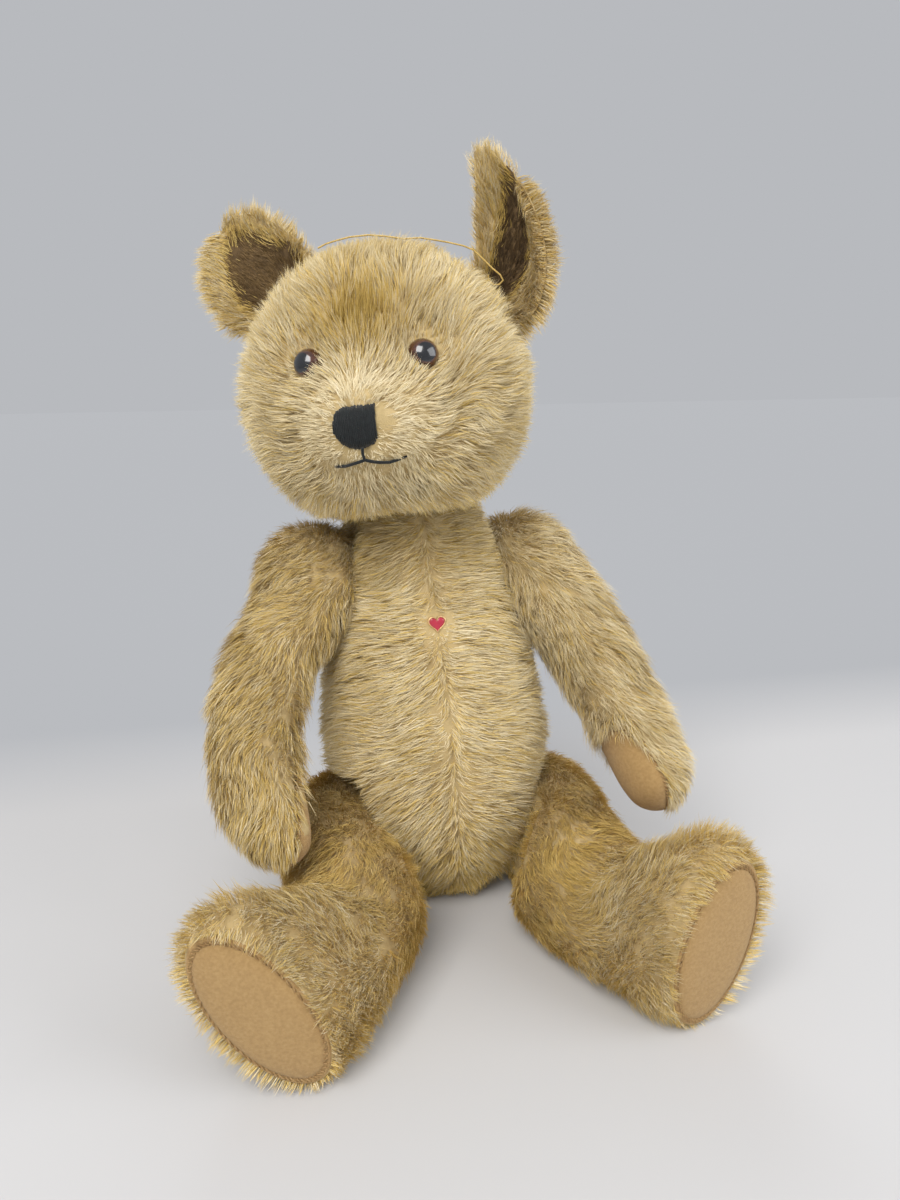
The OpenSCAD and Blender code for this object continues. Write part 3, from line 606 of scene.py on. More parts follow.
def cover(name, surface, seams, rows, columns, body, nodes, flat_end=False):
    """The stuffed form under the pile: crowned between its seams, which are drawn in by their thread."""
    u = np.linspace(0, surface.last, rows)
    a = np.arange(columns) / columns
    uu, aa = (g.ravel() for g in np.meshgrid(u, a, indexing="ij"))
    p, n, _, ta = surface.at(uu, aa)
    ends = np.minimum(uu, surface.last - uu)
    groove = SEAM_DEPTH * np.exp(-((seam_distance(aa, ta, seams) / SEAM_W) ** 2)) * smooth(ends)
    lumps = 0.7 * ripple(p, 34, 5) * smooth(ends)
    p = surface.keep(p + (lumps - groove - 0.2)[:, None] * n)
    p = p.reshape(rows, columns, 3)
    if flat_end:
        middle = p[-1].mean(0)
        p = np.concatenate([p, [middle + (p[-1] - middle) * k for k in (0.7, 0.35, 0.02)]])
    faces = grid_faces(len(p), columns, True)
    faces += [tuple(range(columns))[::-1], tuple((len(p) - 1) * columns + j for j in range(columns))]
    thing = make_object(name, p.reshape(-1, 3), faces, [backing], body, "mohair")
    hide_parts(*nodes)
    return thing


# ---- pile ----
class Tuft:
    """Places where strands grow, with the surface's normals and ways there."""

    def __init__(self, surface, u, a):
        self.u, self.a = u, a
        self.p, self.n, self.tu, self.ta = surface.at(u, a)
        self.along, self.round = unit(self.tu), unit(self.ta)


def scatter(surface, span, density):
    """Places spread evenly over part of a surface, with density places per square mm."""
    steps = 140
    (u0, u1), (a0, a1) = span
    u, a = np.linspace(u0, u1, steps + 1), np.linspace(a0, a1, steps + 1)
    uu, aa = np.meshgrid(u, a, indexing="ij")
    p = surface.points(uu.ravel(), aa.ravel()).reshape(steps + 1, steps + 1, 3)
    diagonals = p[1:, 1:] - p[:-1, :-1], p[1:, :-1] - p[:-1, 1:]
    area = np.linalg.norm(np.cross(*diagonals), axis=2).ravel() / 2
    count = int(area.sum() * density)
    cell = rng.choice(area.size, count, p=area / area.sum())
    row, column = np.divmod(cell, steps)
    return (u0 + (row + rng.random(count)) * (u1 - u0) / steps,
            a0 + (column + rng.random(count)) * (a1 - a0) / steps)


LOCK_STRANDS = 6  # strands that lean together as one lock
LOCK_R = 1.6
STRANDS_PER_MM2 = 1.3
STRAND_W = 0.34
SHADE_STEPS = len(CREAM)
quick_share = 1.0


def ribbons(name, lines, side, shade, body):
    """One mesh of tapered strands: lines is (n, 3, 3), and shade the material of each of 2 parts."""
    n = len(lines)
    verts = np.empty((n, 5, 3), np.float32)
    for i, w in enumerate((1.0, 0.85)):
        verts[:, 2 * i] = lines[:, i] - side * w
        verts[:, 2 * i + 1] = lines[:, i] + side * w
    verts[:, 4] = lines[:, 2]
    corners = np.array([0, 1, 3, 2, 2, 3, 4])
    loops = (np.arange(n)[:, None] * 5 + corners).ravel()
    starts = (np.arange(n)[:, None] * len(corners) + np.array([0, 4])).ravel()
    mesh = bpy.data.meshes.new(name)
    mesh.vertices.add(5 * n)
    mesh.vertices.foreach_set("co", (verts * MM).ravel())
    mesh.loops.add(len(loops))
    mesh.loops.foreach_set("vertex_index", loops.astype(np.int32))
    mesh.polygons.add(2 * n)
    mesh.polygons.foreach_set("loop_start", starts.astype(np.int32))
    for m in pile_materials:
        mesh.materials.append(m)
    mesh.polygons.foreach_set("material_index", shade.ravel().astype(np.int32))
    mesh.polygons.foreach_set("use_smooth", np.ones(2 * n, bool))
    mesh.update(calc_edges=True)
    thing = bpy.data.objects.new(name, mesh)
    bpy.context.collection.objects.link(thing)
    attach(thing, body)
    return thing


def grow(name, surface, span, style, body, density=STRANDS_PER_MM2):
    """Pile over part of a surface. style(tuft) gives each lock's way, length, lift, tone, gold and share."""
    u, a = scatter(surface, span, density * quick_share / LOCK_STRANDS)
    lock = Tuft(surface, u, a)
    way, length, lift, tone, gold, share = style(lock)
    kept = rng.random(len(u)) < share
    u, a, way = u[kept], a[kept], way[kept]
    length, lift, tone, gold = length[kept], lift[kept], tone[kept], gold[kept]
    lock = Tuft(surface, u, a)
    way = unit(way - dot(way, lock.n) * lock.n)
    length = length * rng.uniform(0.8, 1.15, len(u))
    tone = tone + rng.normal(0, 0.03, len(u))
    m = LOCK_STRANDS
    spread = rng.normal(0, LOCK_R / 1.4, (len(u), m, 2))
    ru = spread[..., 0] / np.linalg.norm(lock.tu, axis=1)[:, None]
    ra = spread[..., 1] / np.linalg.norm(lock.ta, axis=1)[:, None]
    us = np.clip(u[:, None] + ru, span[0][0], span[0][1]).ravel()
    as_ = np.clip(a[:, None] + ra, span[1][0], span[1][1]).ravel()
    p, n, _, _ = surface.at(us, as_)

    def each(x):
        return np.repeat(x, m, axis=0)

    count = len(us)
    way_s = each(way) + rng.normal(0, 0.2, (count, 3))
    way_s = unit(way_s - dot(way_s, n) * n)
    size = each(length) * rng.uniform(0.7, 1.1, count)
    rise = np.radians(np.clip(each(lift) + rng.normal(0, 8, count), 5, 85))
    line = np.empty((count, 3, 3))
    line[:, 0] = p - 0.4 * n
    # a strand rises steeply at its root and bends over towards its tip
    for i, (share_of, lean) in enumerate(((0.45, 1.3), (0.55, 0.55))):
        angle = np.minimum(rise * lean, 1.5)[:, None]
        line[:, i + 1] = line[:, i] + share_of * size[:, None] * (
            np.cos(angle) * way_s + np.sin(angle) * n + rng.normal(0, 0.1, (count, 3)))
    pull = each(line[:, 2].reshape(-1, m, 3).mean(1)) - line[:, 2]
    line[:, 1] += 0.15 * pull
    line[:, 2] += 0.4 * pull
    over = surface.overlap * rng.uniform(0.4, 1.5, count)
    for i in range(3):
        line[:, i] = keep_above(surface.keep(line[:, i], over), 0.5)
    roll = rng.uniform(-0.8, 0.8, count)[:, None]
    run = unit(line[:, 2] - line[:, 0])
    face = unit(n - dot(n, run) * run)
    side = np.cross(run, face)
    side = (np.cos(roll) * side + np.sin(roll) * face) * STRAND_W / 2
    side *= rng.uniform(0.7, 1.25, count)[:, None]
    # Painted shade: the root half of each strand takes a slightly darker shade and the tip half a lighter
    # one, standing in for the shade deep in the pile.
    level = (each(tone) + rng.normal(0, 0.06, count))[:, None] + np.array([-0.03, 0.04])
    level = np.clip(level * SHADE_STEPS, 0, SHADE_STEPS - 1).astype(int)
    # gold is the share of golden strands, and what it has above 1 is the share of brown ones
    draw, gold = rng.random(count), each(gold)
    kind = (draw < gold).astype(int) + (draw < gold - 1)
    return ribbons(name, line, side, level + SHADE_STEPS * kind[:, None], body)


def swirl(tuft, way, size, angle, seed):
    """way, turned about the normal by smooth noise of this size, up to about this angle in degrees."""
    turn = np.radians(angle) * ripple(tuft.p, size, seed)[:, None]
    way = unit(way - dot(way, tuft.n) * tuft.n)
    return np.cos(turn) * way + np.sin(turn) * np.cross(tuft.n, way)


def mottle(p, seed):
    return 0.05 * ripple(p, 40, seed) + 0.05 * ripple(p, 11, seed + 1)


def near(p, centre, reach):
    """1 at a point, falling to 0 at a distance of reach from it."""
    return 1 - smooth(np.linalg.norm(p - np.array(centre, float), axis=1) / reach)


def torso_style(t):
    """The pile lies outwards and down from the front seam, and downwards on the back."""
    seam = seam_distance(t.a, t.ta, (0, 0.5))
    k = between(TORSO_STATIONS, t.u)[:, 0]
    away = np.where(t.a % 1 < 0.5, 1, -1)[:, None] * t.round
    front = 1 - smooth((np.abs((t.a + 0.5) % 1 - 0.5) - 0.22) / 0.2)
    parted = smooth(seam / 5)
    down = 0.22 + 0.75 * (1 - smooth(k / 0.42)) + 1.0 * (1 - front) + 0.9 * (1 - parted)
    out = (0.25 + 0.75 * front) * (0.35 + 0.65 * parted)
    way = swirl(t, away * out[:, None] - down[:, None] * t.along, 46, 20, 11)
    length = 12.5 * (0.5 + 0.5 * smooth(seam / 9))
    lift = 27 + 12 * ripple(t.p, 30, 12) + 26 * (1 - parted) + 12 * smooth(seam / 70)
    tone = 0.55 + mottle(t.p, 13) - 0.12 * (1 - smooth((seam - 0.3) / 1.2))
    # Painted shadow: the pile of the upper torso, under the head, takes darker shades. The pile is also
    # darker towards the seat.
    tone = tone - 0.24 * smooth((k - 0.7) / 0.2) - 0.12 * (1 - smooth(k / 0.4))
    tone = tone + 0.05 * (away @ torso_side > 0)
    gold = 0.3 + 0.5 * (1 - smooth(k / 0.3))
    share = 0.6 + 0.4 * smooth(seam / 0.9)
    e = t.p - heart_frame.origin
    pin = np.hypot(e @ heart_frame.x, e @ heart_frame.y) + 60 * (e @ heart_frame.z < -20)
    length = length * (0.22 + 0.78 * smooth((pin - 5) / 9))
    lift = lift * (0.6 + 0.4 * smooth((pin - 4) / 10))
    share = np.where((k > 0.995) | (pin < 4.6), 0.1, share)
    return way, length, lift, tone, gold, share


def paw_half(v):
    """Half width of a paw pad, as a part of the arm's inner half, at a part v of the pad's length."""
    return np.sqrt(np.clip(1 - (1 - np.clip(v / 0.5, 0, 1)) ** 2, 0, 1))


def arm_style(side):
    f = shoulders[side]
    middle = 0.75 if side == RIGHT else 0.25

    def style(t):
        seam = seam_distance(t.a, t.ta, (0, 0.5))
        e = t.p - f.origin
        s = e @ f.y
        way = swirl(t, t.along * 1.0 + 0.35 * f.x - 0.25 * f.z, 40, 26, 21)
        length = 12.5 * (0.7 + 0.3 * smooth(seam / 5)) * (0.75 + 0.25 * smooth((150 - s) / 30))
        lift = 34 + 12 * ripple(t.p, 26, 22)
        tone = np.where(side == RIGHT, 0.44, 0.50) + mottle(t.p, 23) - 0.05 * (1 - smooth(seam / 2))
        hidden = (e @ f.x < JOINT_GAP + 1.0) & (s < 45)
        v = (t.u - WRIST) / (arms[side].last - WRIST)
        inner = np.abs((t.a - middle) * 4)
        padded = (v > 0.02) & (inner < paw_half(v) - 0.02)
        share = np.where(padded, 0.0, np.where(hidden, 0.15, 1.0))
        return way, length, lift, tone, np.where(side == RIGHT, 0.5, 0.2) + 0 * s, share

    return style


def leg_style(side):
    f = hips[side]

    def style(t):
        seam = seam_distance(t.a, t.ta, (0, 0.5))
        e = t.p - f.origin
        s = e @ f.y
        foot = smooth((s - 85) / 35)
        rim = smooth((s - 128) / 18)
        way = t.along * (0.9 - 0.3 * foot)[:, None] + foot[:, None] * 0.6 * UP
        way = swirl(t, way + 0.4 * rim[:, None] * t.along, 38, 24, 31)
        length = (10.5 + 3.5 * foot - 4.5 * rim) * (0.5 + 0.5 * smooth(t.p[:, 2] / 12))
        lift = 30 + 14 * foot + 10 * ripple(t.p, 24, 32)
        tone = 0.47 + 0.13 * foot + mottle(t.p, 33) - 0.06 * (1 - smooth(seam / 2))
        gold = 1.0 - 0.45 * foot
        hidden = (e @ f.x < JOINT_GAP + 1.0) & (np.linalg.norm(e, axis=1) < HIP_FLAT)
        under = t.p[:, 2] < 0.6
        return way, length, lift, tone, gold, np.where(hidden | under, 0.15, 1.0)

    return style


EYE_GAP = 52
EYE_AHEAD = 56
EYE_UP = 19
EYE_SPLAY = 24
EYE_RISE = 14
NOSE_AT = (-3.5, 81.5, -8)
WORN_AT = (10, 79, -6)  # bare patch beside the nose
FOREHEAD = (-2, 52, 36)
MOUTH_STITCHES = [
    [(-0.5, 82.5, -16.5), (-0.8, 81.8, -19), (-0.5, 80.2, -21.8)],
    [(-0.5, 80.2, -21.8), (-4, 79.2, -22.8), (-10, 75.2, -24.4)],
    [(-10, 75.2, -24.4), (-15, 71.5, -24.6)],
    [(-0.5, 80.2, -21.8), (4, 79, -23.2), (9, 76.3, -24)],
    [(9, 76.3, -24), (14, 73, -23), (19, 69, -21)]]


def line_distance(q, line):
    """Distance of each of the points q from the nearest of the straight parts of a line."""
    best = np.full(len(q), np.inf)
    for a, b in zip(line, line[1:]):
        a, b = np.array(a, float), np.array(b, float)
        k = np.clip(((q - a) @ (b - a)) / ((b - a) @ (b - a)), 0, 1)
        best = np.minimum(best, np.linalg.norm(q - a - k[:, None] * (b - a), axis=1))
    return best


def head_style(t):
    """The pile radiates from the nose, is short on the snout and clipped round the eyes and mouth."""
    q = on_head(t.p)
    snout = smooth((q[:, 1] - 56) / 20)
    way = -t.along - 0.25 * smooth((40 - q[:, 1]) / 60)[:, None] * UP
    eyes = np.zeros(len(q))
    gap = np.full(len(q), 99.0)
    for side in (RIGHT, LEFT):
        eye = (side * EYE_GAP / 2, EYE_AHEAD, EYE_UP)
        close = near(q, eye, 17)
        off = q - np.array(eye)
        gap = np.minimum(gap, np.linalg.norm(off, axis=1))
        off = off[:, :1] * head_frame.x + off[:, 2:] * head_frame.z
        way = way + 1.3 * close[:, None] * unit(off)
        eyes = np.maximum(eyes, close)
    way = swirl(t, way, 34, 26, 41)
    worn = near(q, WORN_AT, 9)
    nose = near(q, NOSE_AT, 20)
    off = q - np.array(NOSE_AT)
    way = way + 0.8 * (nose > 0.1)[:, None] * unit(off[:, :1] * head_frame.x + off[:, 2:] * head_frame.z)
    mouth = np.min([line_distance(q, stitch) for stitch in MOUTH_STITCHES], axis=0)
    below = (mouth < 9) & (q[:, 2] < -21)
    way = np.where(below[:, None], way - 1.6 * head_frame.z, way)
    length = 14 - 7 * snout
    length = length * (1 - 0.5 * eyes) * (1 - 0.35 * nose) * (1 - 0.5 * worn)
    length = length * (0.4 + 0.6 * smooth((mouth - 1) / 8))
    length = np.minimum(length, 4.2 + 0.9 * np.maximum(gap - 7, 0))
    lift = 47 + 11 * ripple(t.p, 26, 42) - 15 * snout - 12 * (mouth < 6)
    forehead = near(q, FOREHEAD, 32)
    chin = smooth((-q[:, 2] - 35) / 25)
    crown = smooth((q[:, 2] - 50) / 14)
    tone = 0.50 + 0.10 * snout - 0.20 * forehead + 0.24 * chin - 0.24 * crown + mottle(t.p, 43)
    gold = np.clip(0.2 + 0.8 * forehead + 0.6 * chin - 0.2 * snout, 0, 1)
    share = np.where(gap < 7.2, 0.0, 1.0) * (1 - 0.85 * (worn > 0.25))
    block = np.maximum(np.abs(q[:, 0] - NOSE_AT[0]), np.abs(q[:, 2] - NOSE_AT[2])) + 99 * (q[:, 1] < 66)
    share = np.where(block < 9.0, 0.0, share)
    length = length * (0.55 + 0.45 * smooth((block - 9) / 9))
    share = share * np.where(mouth < 1.3, 0.1, 1.0)
    hidden = (t.p - neck_at) @ torso_axis < JOINT_GAP + 0.5
    r = np.linalg.norm(t.p - neck_at, axis=1)
    return way, length, lift, tone, gold, np.where(hidden & (r < 34), 0.1, share)


def ear_paleness(side, u, c):
    """0 in the brown hollow of an ear, 1 towards its rim. On the right ear it lies towards the head."""
    middle, wide, high = (0.12, 0.80, 0.68) if side == RIGHT else (-0.12, 0.50, 0.80)
    return smooth((np.hypot((c - middle) / wide, (u - 0.3) / high) - 0.45) / 0.85)


def ear_style(side, back):
    def style(t):
        c = 2 * t.a - 1
        edge = np.maximum(np.abs(c) ** 3, smooth((t.u - 0.6) / 0.4))
        fringe = smooth((c - 0.3) / 0.6) if side == LEFT else 0 * c
        lay = 0.5 if side == RIGHT else np.where(c < -0.4, -0.2, 0.9)
        way = swirl(t, t.along * (1 - 0.45 * edge)[:, None] + (lay * c)[:, None] * t.round
                    + 0.9 * (edge * np.sign(c))[:, None] * t.round, 20, 18, 51)
        if back:
            length, lift = 8.5 + 1.5 * edge + 2.5 * fringe, 34 + 10 * edge
            tone, gold = 0.52 + mottle(t.p, 53), 0.35 + 0 * c
        else:
            pale = ear_paleness(side, t.u, c)
            length, lift = 5.0 + 4.0 * pale + 3.0 * fringe, 22 + 26 * pale
            # The brown of the hollow is the lining's own colour. The left ear's hollow is painted darker than
            # the right's, as painted shade.
            tone = np.where(side == RIGHT, 0.50, 0.24) * (1 - pale) + 0.5 * pale + mottle(t.p, 54)
            gold = 2.0 - 1.5 * smooth(1.3 * pale)
        return way, length, lift, tone, gold, np.ones(len(c))

    return style


# ---- the bear's covers and pile ----
GUSSET_HALF = 2 / 24  # half width of the head's gusset, as a share of the way round


def make_covers():
    cover("torso_cover", torso, (0, 0.5), 110, 120, "torso",
          ("torso_panel_right", "torso_panel_left", "torso_stuffing"))
    cover("head_cover", head, (GUSSET_HALF, 0.5, 1 - GUSSET_HALF), 110, 120, "head",
          ("head_gusset", "head_side_right", "head_side_left", "head_stuffing"))
    for side, name in SIDE_NAME.items():
        cover(f"{name}_arm_cover", arms[side], (0, 0.5), 100, 72, f"{name}_arm",
              (f"arm_outer_{name}", f"arm_inner_{name}", f"arm_stuffing_{name}"))
        cover(f"{name}_leg_cover", legs[side], (0, 0.5), 100, 84, f"{name}_leg",
              (f"leg_outer_{name}", f"leg_inner_{name}", f"leg_stuffing_{name}"), flat_end=True)


def make_ears():
    rows, columns = 28, 36
    for side, name in SIDE_NAME.items():
        for back in (False, True):
            surface = ear_surface(side, back)
            part = "back" if back else "front"
            u, a = np.linspace(-0.08, 1, rows), np.linspace(0, 1, columns)
            uu, aa = (g.ravel() for g in np.meshgrid(u, a, indexing="ij"))
            mid_u, mid_c = (g.ravel() for g in np.meshgrid(
                (u[1:] + u[:-1]) / 2, a[1:] + a[:-1] - 1, indexing="ij"))
            brown = (ear_paleness(side, mid_u, mid_c) < 0.6) & (not back)
            cloth = make_object(f"ear_{part}_cloth_{name}", surface.points(uu, aa),
                                grid_faces(rows, columns), [backing, ear_cloth], "head",
                                "mohair" if back else "ear_lining", brown.astype(int))
            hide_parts(f"ear_{part}_{name}")
            grow(f"ear_{part}_pile_{name}", surface, ((0.03, 0.985), (0.01, 0.99)),
                 ear_style(side, back), "head", 2.2)


def make_pile():
    top = torso.last - 1.5
    grow("torso_pile_left", torso, ((1.2, top), (0.0, 0.5)), torso_style, "torso")
    grow("torso_pile_right", torso, ((1.2, top), (0.5, 1.0)), torso_style, "torso")
    face = head.last - 0.6
    grow("head_pile_right", head, ((0.3, face), (GUSSET_HALF, 0.5)), head_style, "head")
    grow("head_pile_left", head, ((0.3, face), (0.5, 1 - GUSSET_HALF)), head_style, "head")
    grow("head_pile_gusset", head, ((0.3, face), (-GUSSET_HALF, GUSSET_HALF)), head_style, "head")
    for side, name in SIDE_NAME.items():
        outer = (0, 0.5) if side == RIGHT else (0.5, 1)
        inner = (0.5, 1) if side == RIGHT else (0, 0.5)
        end = arms[side].last - 0.2
        sole = legs[side].last - 0.03
        for limb, surface, last, style in (("arm", arms[side], end, arm_style(side)),
                                           ("leg", legs[side], sole, leg_style(side))):
            for part, half in (("outer", outer), ("inner", inner)):
                grow(f"{limb}_pile_{part}_{name}", surface, ((0.3, last), half), style, f"{name}_{limb}")


# ---- threads and stitches ----
def tube(line, r, sides=6):
    """Corners and faces of a round thread along a line. r is one radius, or one for each point."""
    line = np.asarray(line, float)
    run = unit(np.gradient(line, axis=0))
    across = unit(np.cross(run, [0.31, 0.52, 0.80]))
    turn = np.linspace(0, 2 * math.pi, sides, endpoint=False)[:, None]
    ring = np.cos(turn) * across[:, None] + np.sin(turn) * np.cross(run, across)[:, None]
    points = line[:, None] + np.broadcast_to(np.asarray(r, float), len(line))[:, None, None] * ring
    last = (len(line) - 1) * sides
    faces = grid_faces(len(line), sides, True)
    faces += [tuple(range(sides))[::-1], tuple(last + j for j in range(sides))]
    return points.reshape(-1, 3), faces


def join(parts):
    points, faces, start = [], [], 0
    for p, f in parts:
        points.append(p)
        faces += [tuple(start + i for i in face) for face in f]
        start += len(p)
    return np.concatenate(points), faces


def make_threads(name, lines, r, material, body, slot):
    return make_object(name, *join([tube(line, r) for line in lines]), [material], body, slot)


def whipped(name, inside, outside, normals, body):
    """Slanting stitches over an edge, from points inside it to points outside it."""
    lines = []
    for a, b, n in zip(inside[:-1], outside[1:], normals[:-1]):
        lines.append([a - 0.4 * n, a * 0.7 + b * 0.3 + 0.35 * n, a * 0.3 + b * 0.7 + 0.35 * n, b - 0.4 * n])
    return make_threads(name, lines, STITCH_R, felt_thread, body, "sewing_thread")


STITCH_R = 0.3

# Route of the lost tag's thread, in metres, over the top of the head to a small knotted loop
TAG_ROUTE = [
    (-0.058, 0.032, 0.338), (-0.054, 0.031, 0.340), (-0.049, 0.030, 0.3415),
    (-0.043, 0.029, 0.343), (-0.034, 0.028, 0.344), (-0.026, 0.027, 0.3435),
    (-0.017, 0.027, 0.3425), (-0.009, 0.026, 0.343), (-0.001, 0.026, 0.342),
    (0.005, 0.025, 0.341), (0.012, 0.024, 0.3395), (0.0165, 0.022, 0.3375),
    (0.021, 0.0195, 0.333), (0.0245, 0.0165, 0.329), (0.028, 0.0147, 0.326),
    (0.0295, 0.0147, 0.3235), (0.0275, 0.0147, 0.3215), (0.0245, 0.0147, 0.3215),
    (0.022, 0.0147, 0.3235), (0.022, 0.0142, 0.326)]
TAG_THREAD_D = 0.0008


def make_tag_thread():
    curve = bpy.data.curves.new("gold_tag_thread", "CURVE")
    curve.dimensions = "3D"
    curve.bevel_depth = TAG_THREAD_D / 2
    curve.bevel_resolution = 2
    curve.use_fill_caps = True
    spline = curve.splines.new("POLY")
    spline.points.add(len(TAG_ROUTE) - 1)
    for point, place in zip(spline.points, TAG_ROUTE):
        point.co = (*place, 1)
    thread = bpy.data.objects.new("gold_tag_thread", curve)
    bpy.context.collection.objects.link(thread)
    curve.materials.append(gold_thread)
    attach(thread, "head")
    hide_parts("tag_thread")


# ---- face ----
def make_eyes():
    """A glass dome with a dark pupil, set in a brown rim."""
    profile = [(0.2, 6.6), (2.6, 6.2), (4.4, 5.4), (5.0, 5.0), (5.9, 3.9), (6.8, 2.4), (7.2, 0.9),
               (7.2, -1.5), (0.2, -1.5)]
    columns = 40
    for side, name in SIDE_NAME.items():
        c, w = math.cos(math.radians(EYE_SPLAY)), side * math.sin(math.radians(EYE_SPLAY))
        rise = math.radians(EYE_RISE)
        level = c * head_frame.y + w * head_frame.x
        out = math.cos(rise) * level + math.sin(rise) * head_frame.z
        up = math.cos(rise) * head_frame.z - math.sin(rise) * level
        at = head_frame.world(side * EYE_GAP / 2, EYE_AHEAD, EYE_UP)
        f = Frame(at, np.cross(out, up), up, out)
        r, h = (np.repeat([row[i] for row in profile], columns) for i in (0, 1))
        turn = np.tile(np.linspace(0, 2 * math.pi, columns, endpoint=False), len(profile))
        p = f.world(r * np.cos(turn), r * np.sin(turn), h)
        faces = grid_faces(len(profile), columns, True)
        faces += [tuple(range(columns))[::-1]]
        shade = [0 if i // columns < 2 else 1 for i in range(columns * (len(profile) - 1))] + [0]
        eye = make_object(f"glass_eye_{name}", p, faces, [eye_pupil, eye_iris], "head", "eye_glass", shade)
        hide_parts(f"eye_{name}")


def nose_front(x, z):
    """How far ahead the nose stands at a place on it, measured from its middle."""
    return 2.6 - 1.9 * (x / 9.3) ** 2 - 1.7 * (z / 9.3) ** 2


def make_nose():
    """Upright satin stitches, laid side by side, cut off straight on the bear's left."""
    xs = np.arange(-9.0, 9.3, 0.82)
    top = np.interp(xs, [-9.3, -8.4, -7, -5, 0, 9.2], [1.5, 5.5, 7.3, 8.2, 8.7, 9.2])
    bottom = np.interp(xs, [-9.3, -8, -6, -3, 0, 3, 6, 8, 9.2],
                       [-1.5, -4.8, -7, -8.8, -9.4, -9.3, -8.4, -7.2, -5.6])
    lines = []
    for x, hi, lo in zip(xs, top + rng.uniform(-0.3, 0.3, len(xs)), bottom + rng.uniform(-0.3, 0.3, len(xs))):
        z = np.linspace(lo, hi, 9)
        y = nose_front(x, z) + rng.uniform(-0.12, 0.12)
        y[[0, -1]] -= 1.6
        x = NOSE_AT[0] + x + rng.normal(0, 0.08, 9)
        lines.append(head_frame.world(x, NOSE_AT[1] + y, NOSE_AT[2] + z))
    nose = make_threads("nose_stitches", lines, 0.58, black_thread, "head", "black_thread")
    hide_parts("nose_embroidery")


def make_mouth():
    lines = []
    for stitch in MOUTH_STITCHES:
        t = np.linspace(0, len(stitch) - 1, 4 * len(stitch))
        q = between(stitch, t)
        q = q + 1.9 * unit(q - np.array([0, 40, -8]))
        lines.append(head_frame.world(*q.T))
    mouth = make_threads("mouth_stitches", lines, 0.72, black_thread, "head", "black_thread")
    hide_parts("mouth_embroidery")


# ---- heart pin ----
HEART_W = 9.4
HEART_POINTS = 48


def heart_rings(rings):
    """Corners and faces of a heart built of rings, each given as its size and its height."""
    t = np.linspace(0, 2 * math.pi, HEART_POINTS, endpoint=False)
    x = 16 * np.sin(t) ** 3 / 32
    y = (13 * np.cos(t) - 5 * np.cos(2 * t) - 2 * np.cos(3 * t) - np.cos(4 * t)) / 32 + 0.08
    p = np.concatenate([heart_frame.world(HEART_W * k * x, HEART_W * k * y, h + 0 * t) for k, h in rings])
    n, last = HEART_POINTS, (len(rings) - 1) * HEART_POINTS
    faces = grid_faces(len(rings), n, True)
    return p, faces + [tuple(range(n))[::-1], tuple(last + j for j in range(n))]


def make_heart():
    rim = heart_rings([(0.96, 0), (1, 0.4), (1, 1.3), (0.95, 1.7), (0.87, 1.7), (0.84, 1.3), (0.84, 0.6)])
    thing = make_object("heart_rim", *rim, [pin_gold], "torso", "pin_gold")
    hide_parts("heart_pin_rim")
    dome = heart_rings([(0.84, 0.7), (0.84, 1.2), (0.74, 1.45), (0.55, 1.6), (0.3, 1.7), (0.05, 1.7)])
    thing = make_object("heart_enamel", *dome, [enamel], "torso", "enamel")
    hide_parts("heart_pin_enamel")


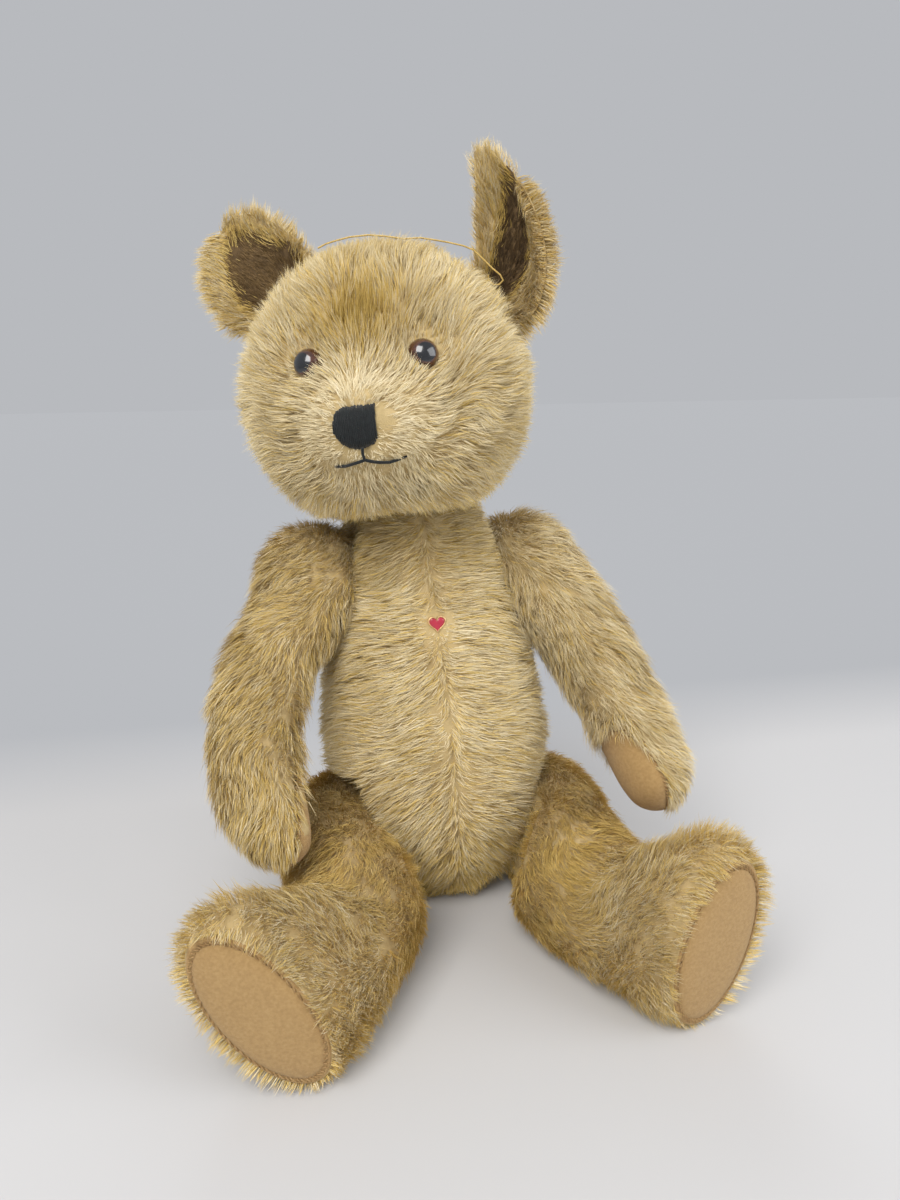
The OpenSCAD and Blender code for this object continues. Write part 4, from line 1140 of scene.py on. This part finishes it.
# ---- felt pads ----
def make_paw_pads():
    rows, columns = 44, 28
    for side, name in SIDE_NAME.items():
        surface, middle = arms[side], (0.75 if side == RIGHT else 0.25)
        end = surface.last - 0.35

        def at(v, c):
            return surface.at(WRIST + v * (end - WRIST), middle + 0.25 * c * paw_half(v))

        v, c = (g.ravel() for g in np.meshgrid(np.linspace(0.01, 1, rows), np.linspace(-1, 1, columns),
                                               indexing="ij"))
        p, n, _, _ = at(v, c)
        rise = 1.3 * (1 - np.abs(c) ** 5) * smooth(v * 9) * smooth((1 - v) * 7 + 0.2) - 0.35
        pad = make_object(f"paw_felt_{name}", p + rise[:, None] * n, grid_faces(rows, columns), [felt],
                          f"{name}_arm", "felt")
        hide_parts(f"paw_pad_{name}")
        for edge, sign in (("front", -1), ("back", 1)):
            v = np.linspace(0.06, 0.94, 22)
            inside, n, _, _ = at(v, sign * (1 - 0.06 / paw_half(v)))
            outside = at(v, sign * (1 + 0.05 / paw_half(v)))[0]
            whipped(f"paw_stitches_{edge}_{name}", inside + 0.6 * n, outside + 0.3 * n, n, f"{name}_arm")


def make_foot_pads():
    """A domed felt sole inside a narrow turned edge, whipped to the leg all round."""
    columns = 96
    a = np.arange(columns) / columns
    profile = [(0.985, -1.0), (0.985, 0.2), (0.97, 0.9), (0.945, 1.0), (0.925, 0.55), (0.91, 0.6),
               (0.89, 1.15), (0.84, 1.7), (0.7, 2.3), (0.5, 2.7), (0.25, 2.9), (0.02, 2.95)]
    for side, name in SIDE_NAME.items():
        surface, ahead = legs[side], hips[side].y
        edge = surface.points(np.full(columns, surface.last - 0.02), a)
        middle = edge.mean(0)
        p = [middle + (edge - middle) * k + h * ahead for k, h in profile]
        p = keep_above(np.concatenate(p), 0.3)
        last = (len(profile) - 1) * columns
        faces = grid_faces(len(profile), columns, True)
        faces += [tuple(last + j for j in range(columns))]
        pad = make_object(f"foot_felt_{name}", p, faces, [felt], f"{name}_leg", "felt")
        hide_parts(f"foot_pad_{name}")
        loop = np.append(np.arange(0, columns, 1.5), 0).astype(int)
        inside = middle + (edge[loop] - middle) * 0.895 + 1.1 * ahead
        outside = middle + (edge[loop] - middle) * 0.955 + 1.0 * ahead
        whipped(f"foot_stitches_{name}", keep_above(inside, 0.8), keep_above(outside, 0.8),
                np.broadcast_to(ahead, inside.shape), f"{name}_leg")


def finish_nodes():
    looks = {
        "disc": fibreboard, "washer": pin_steel, "split_pin": pin_steel, "insole": card,
        "clutch": pin_gold, "stitches": back_thread,
    }
    for name, node in frame["nodes"].items():
        for word, look in looks.items():
            if word in name:
                for slot in node.material_slots:
                    slot.material = look


make_camera()
make_tag_thread()
make_studio()
make_covers()
make_ears()
make_pile()
make_eyes()
make_nose()
make_mouth()
make_heart()
make_paw_pads()
make_foot_pads()
finish_nodes()
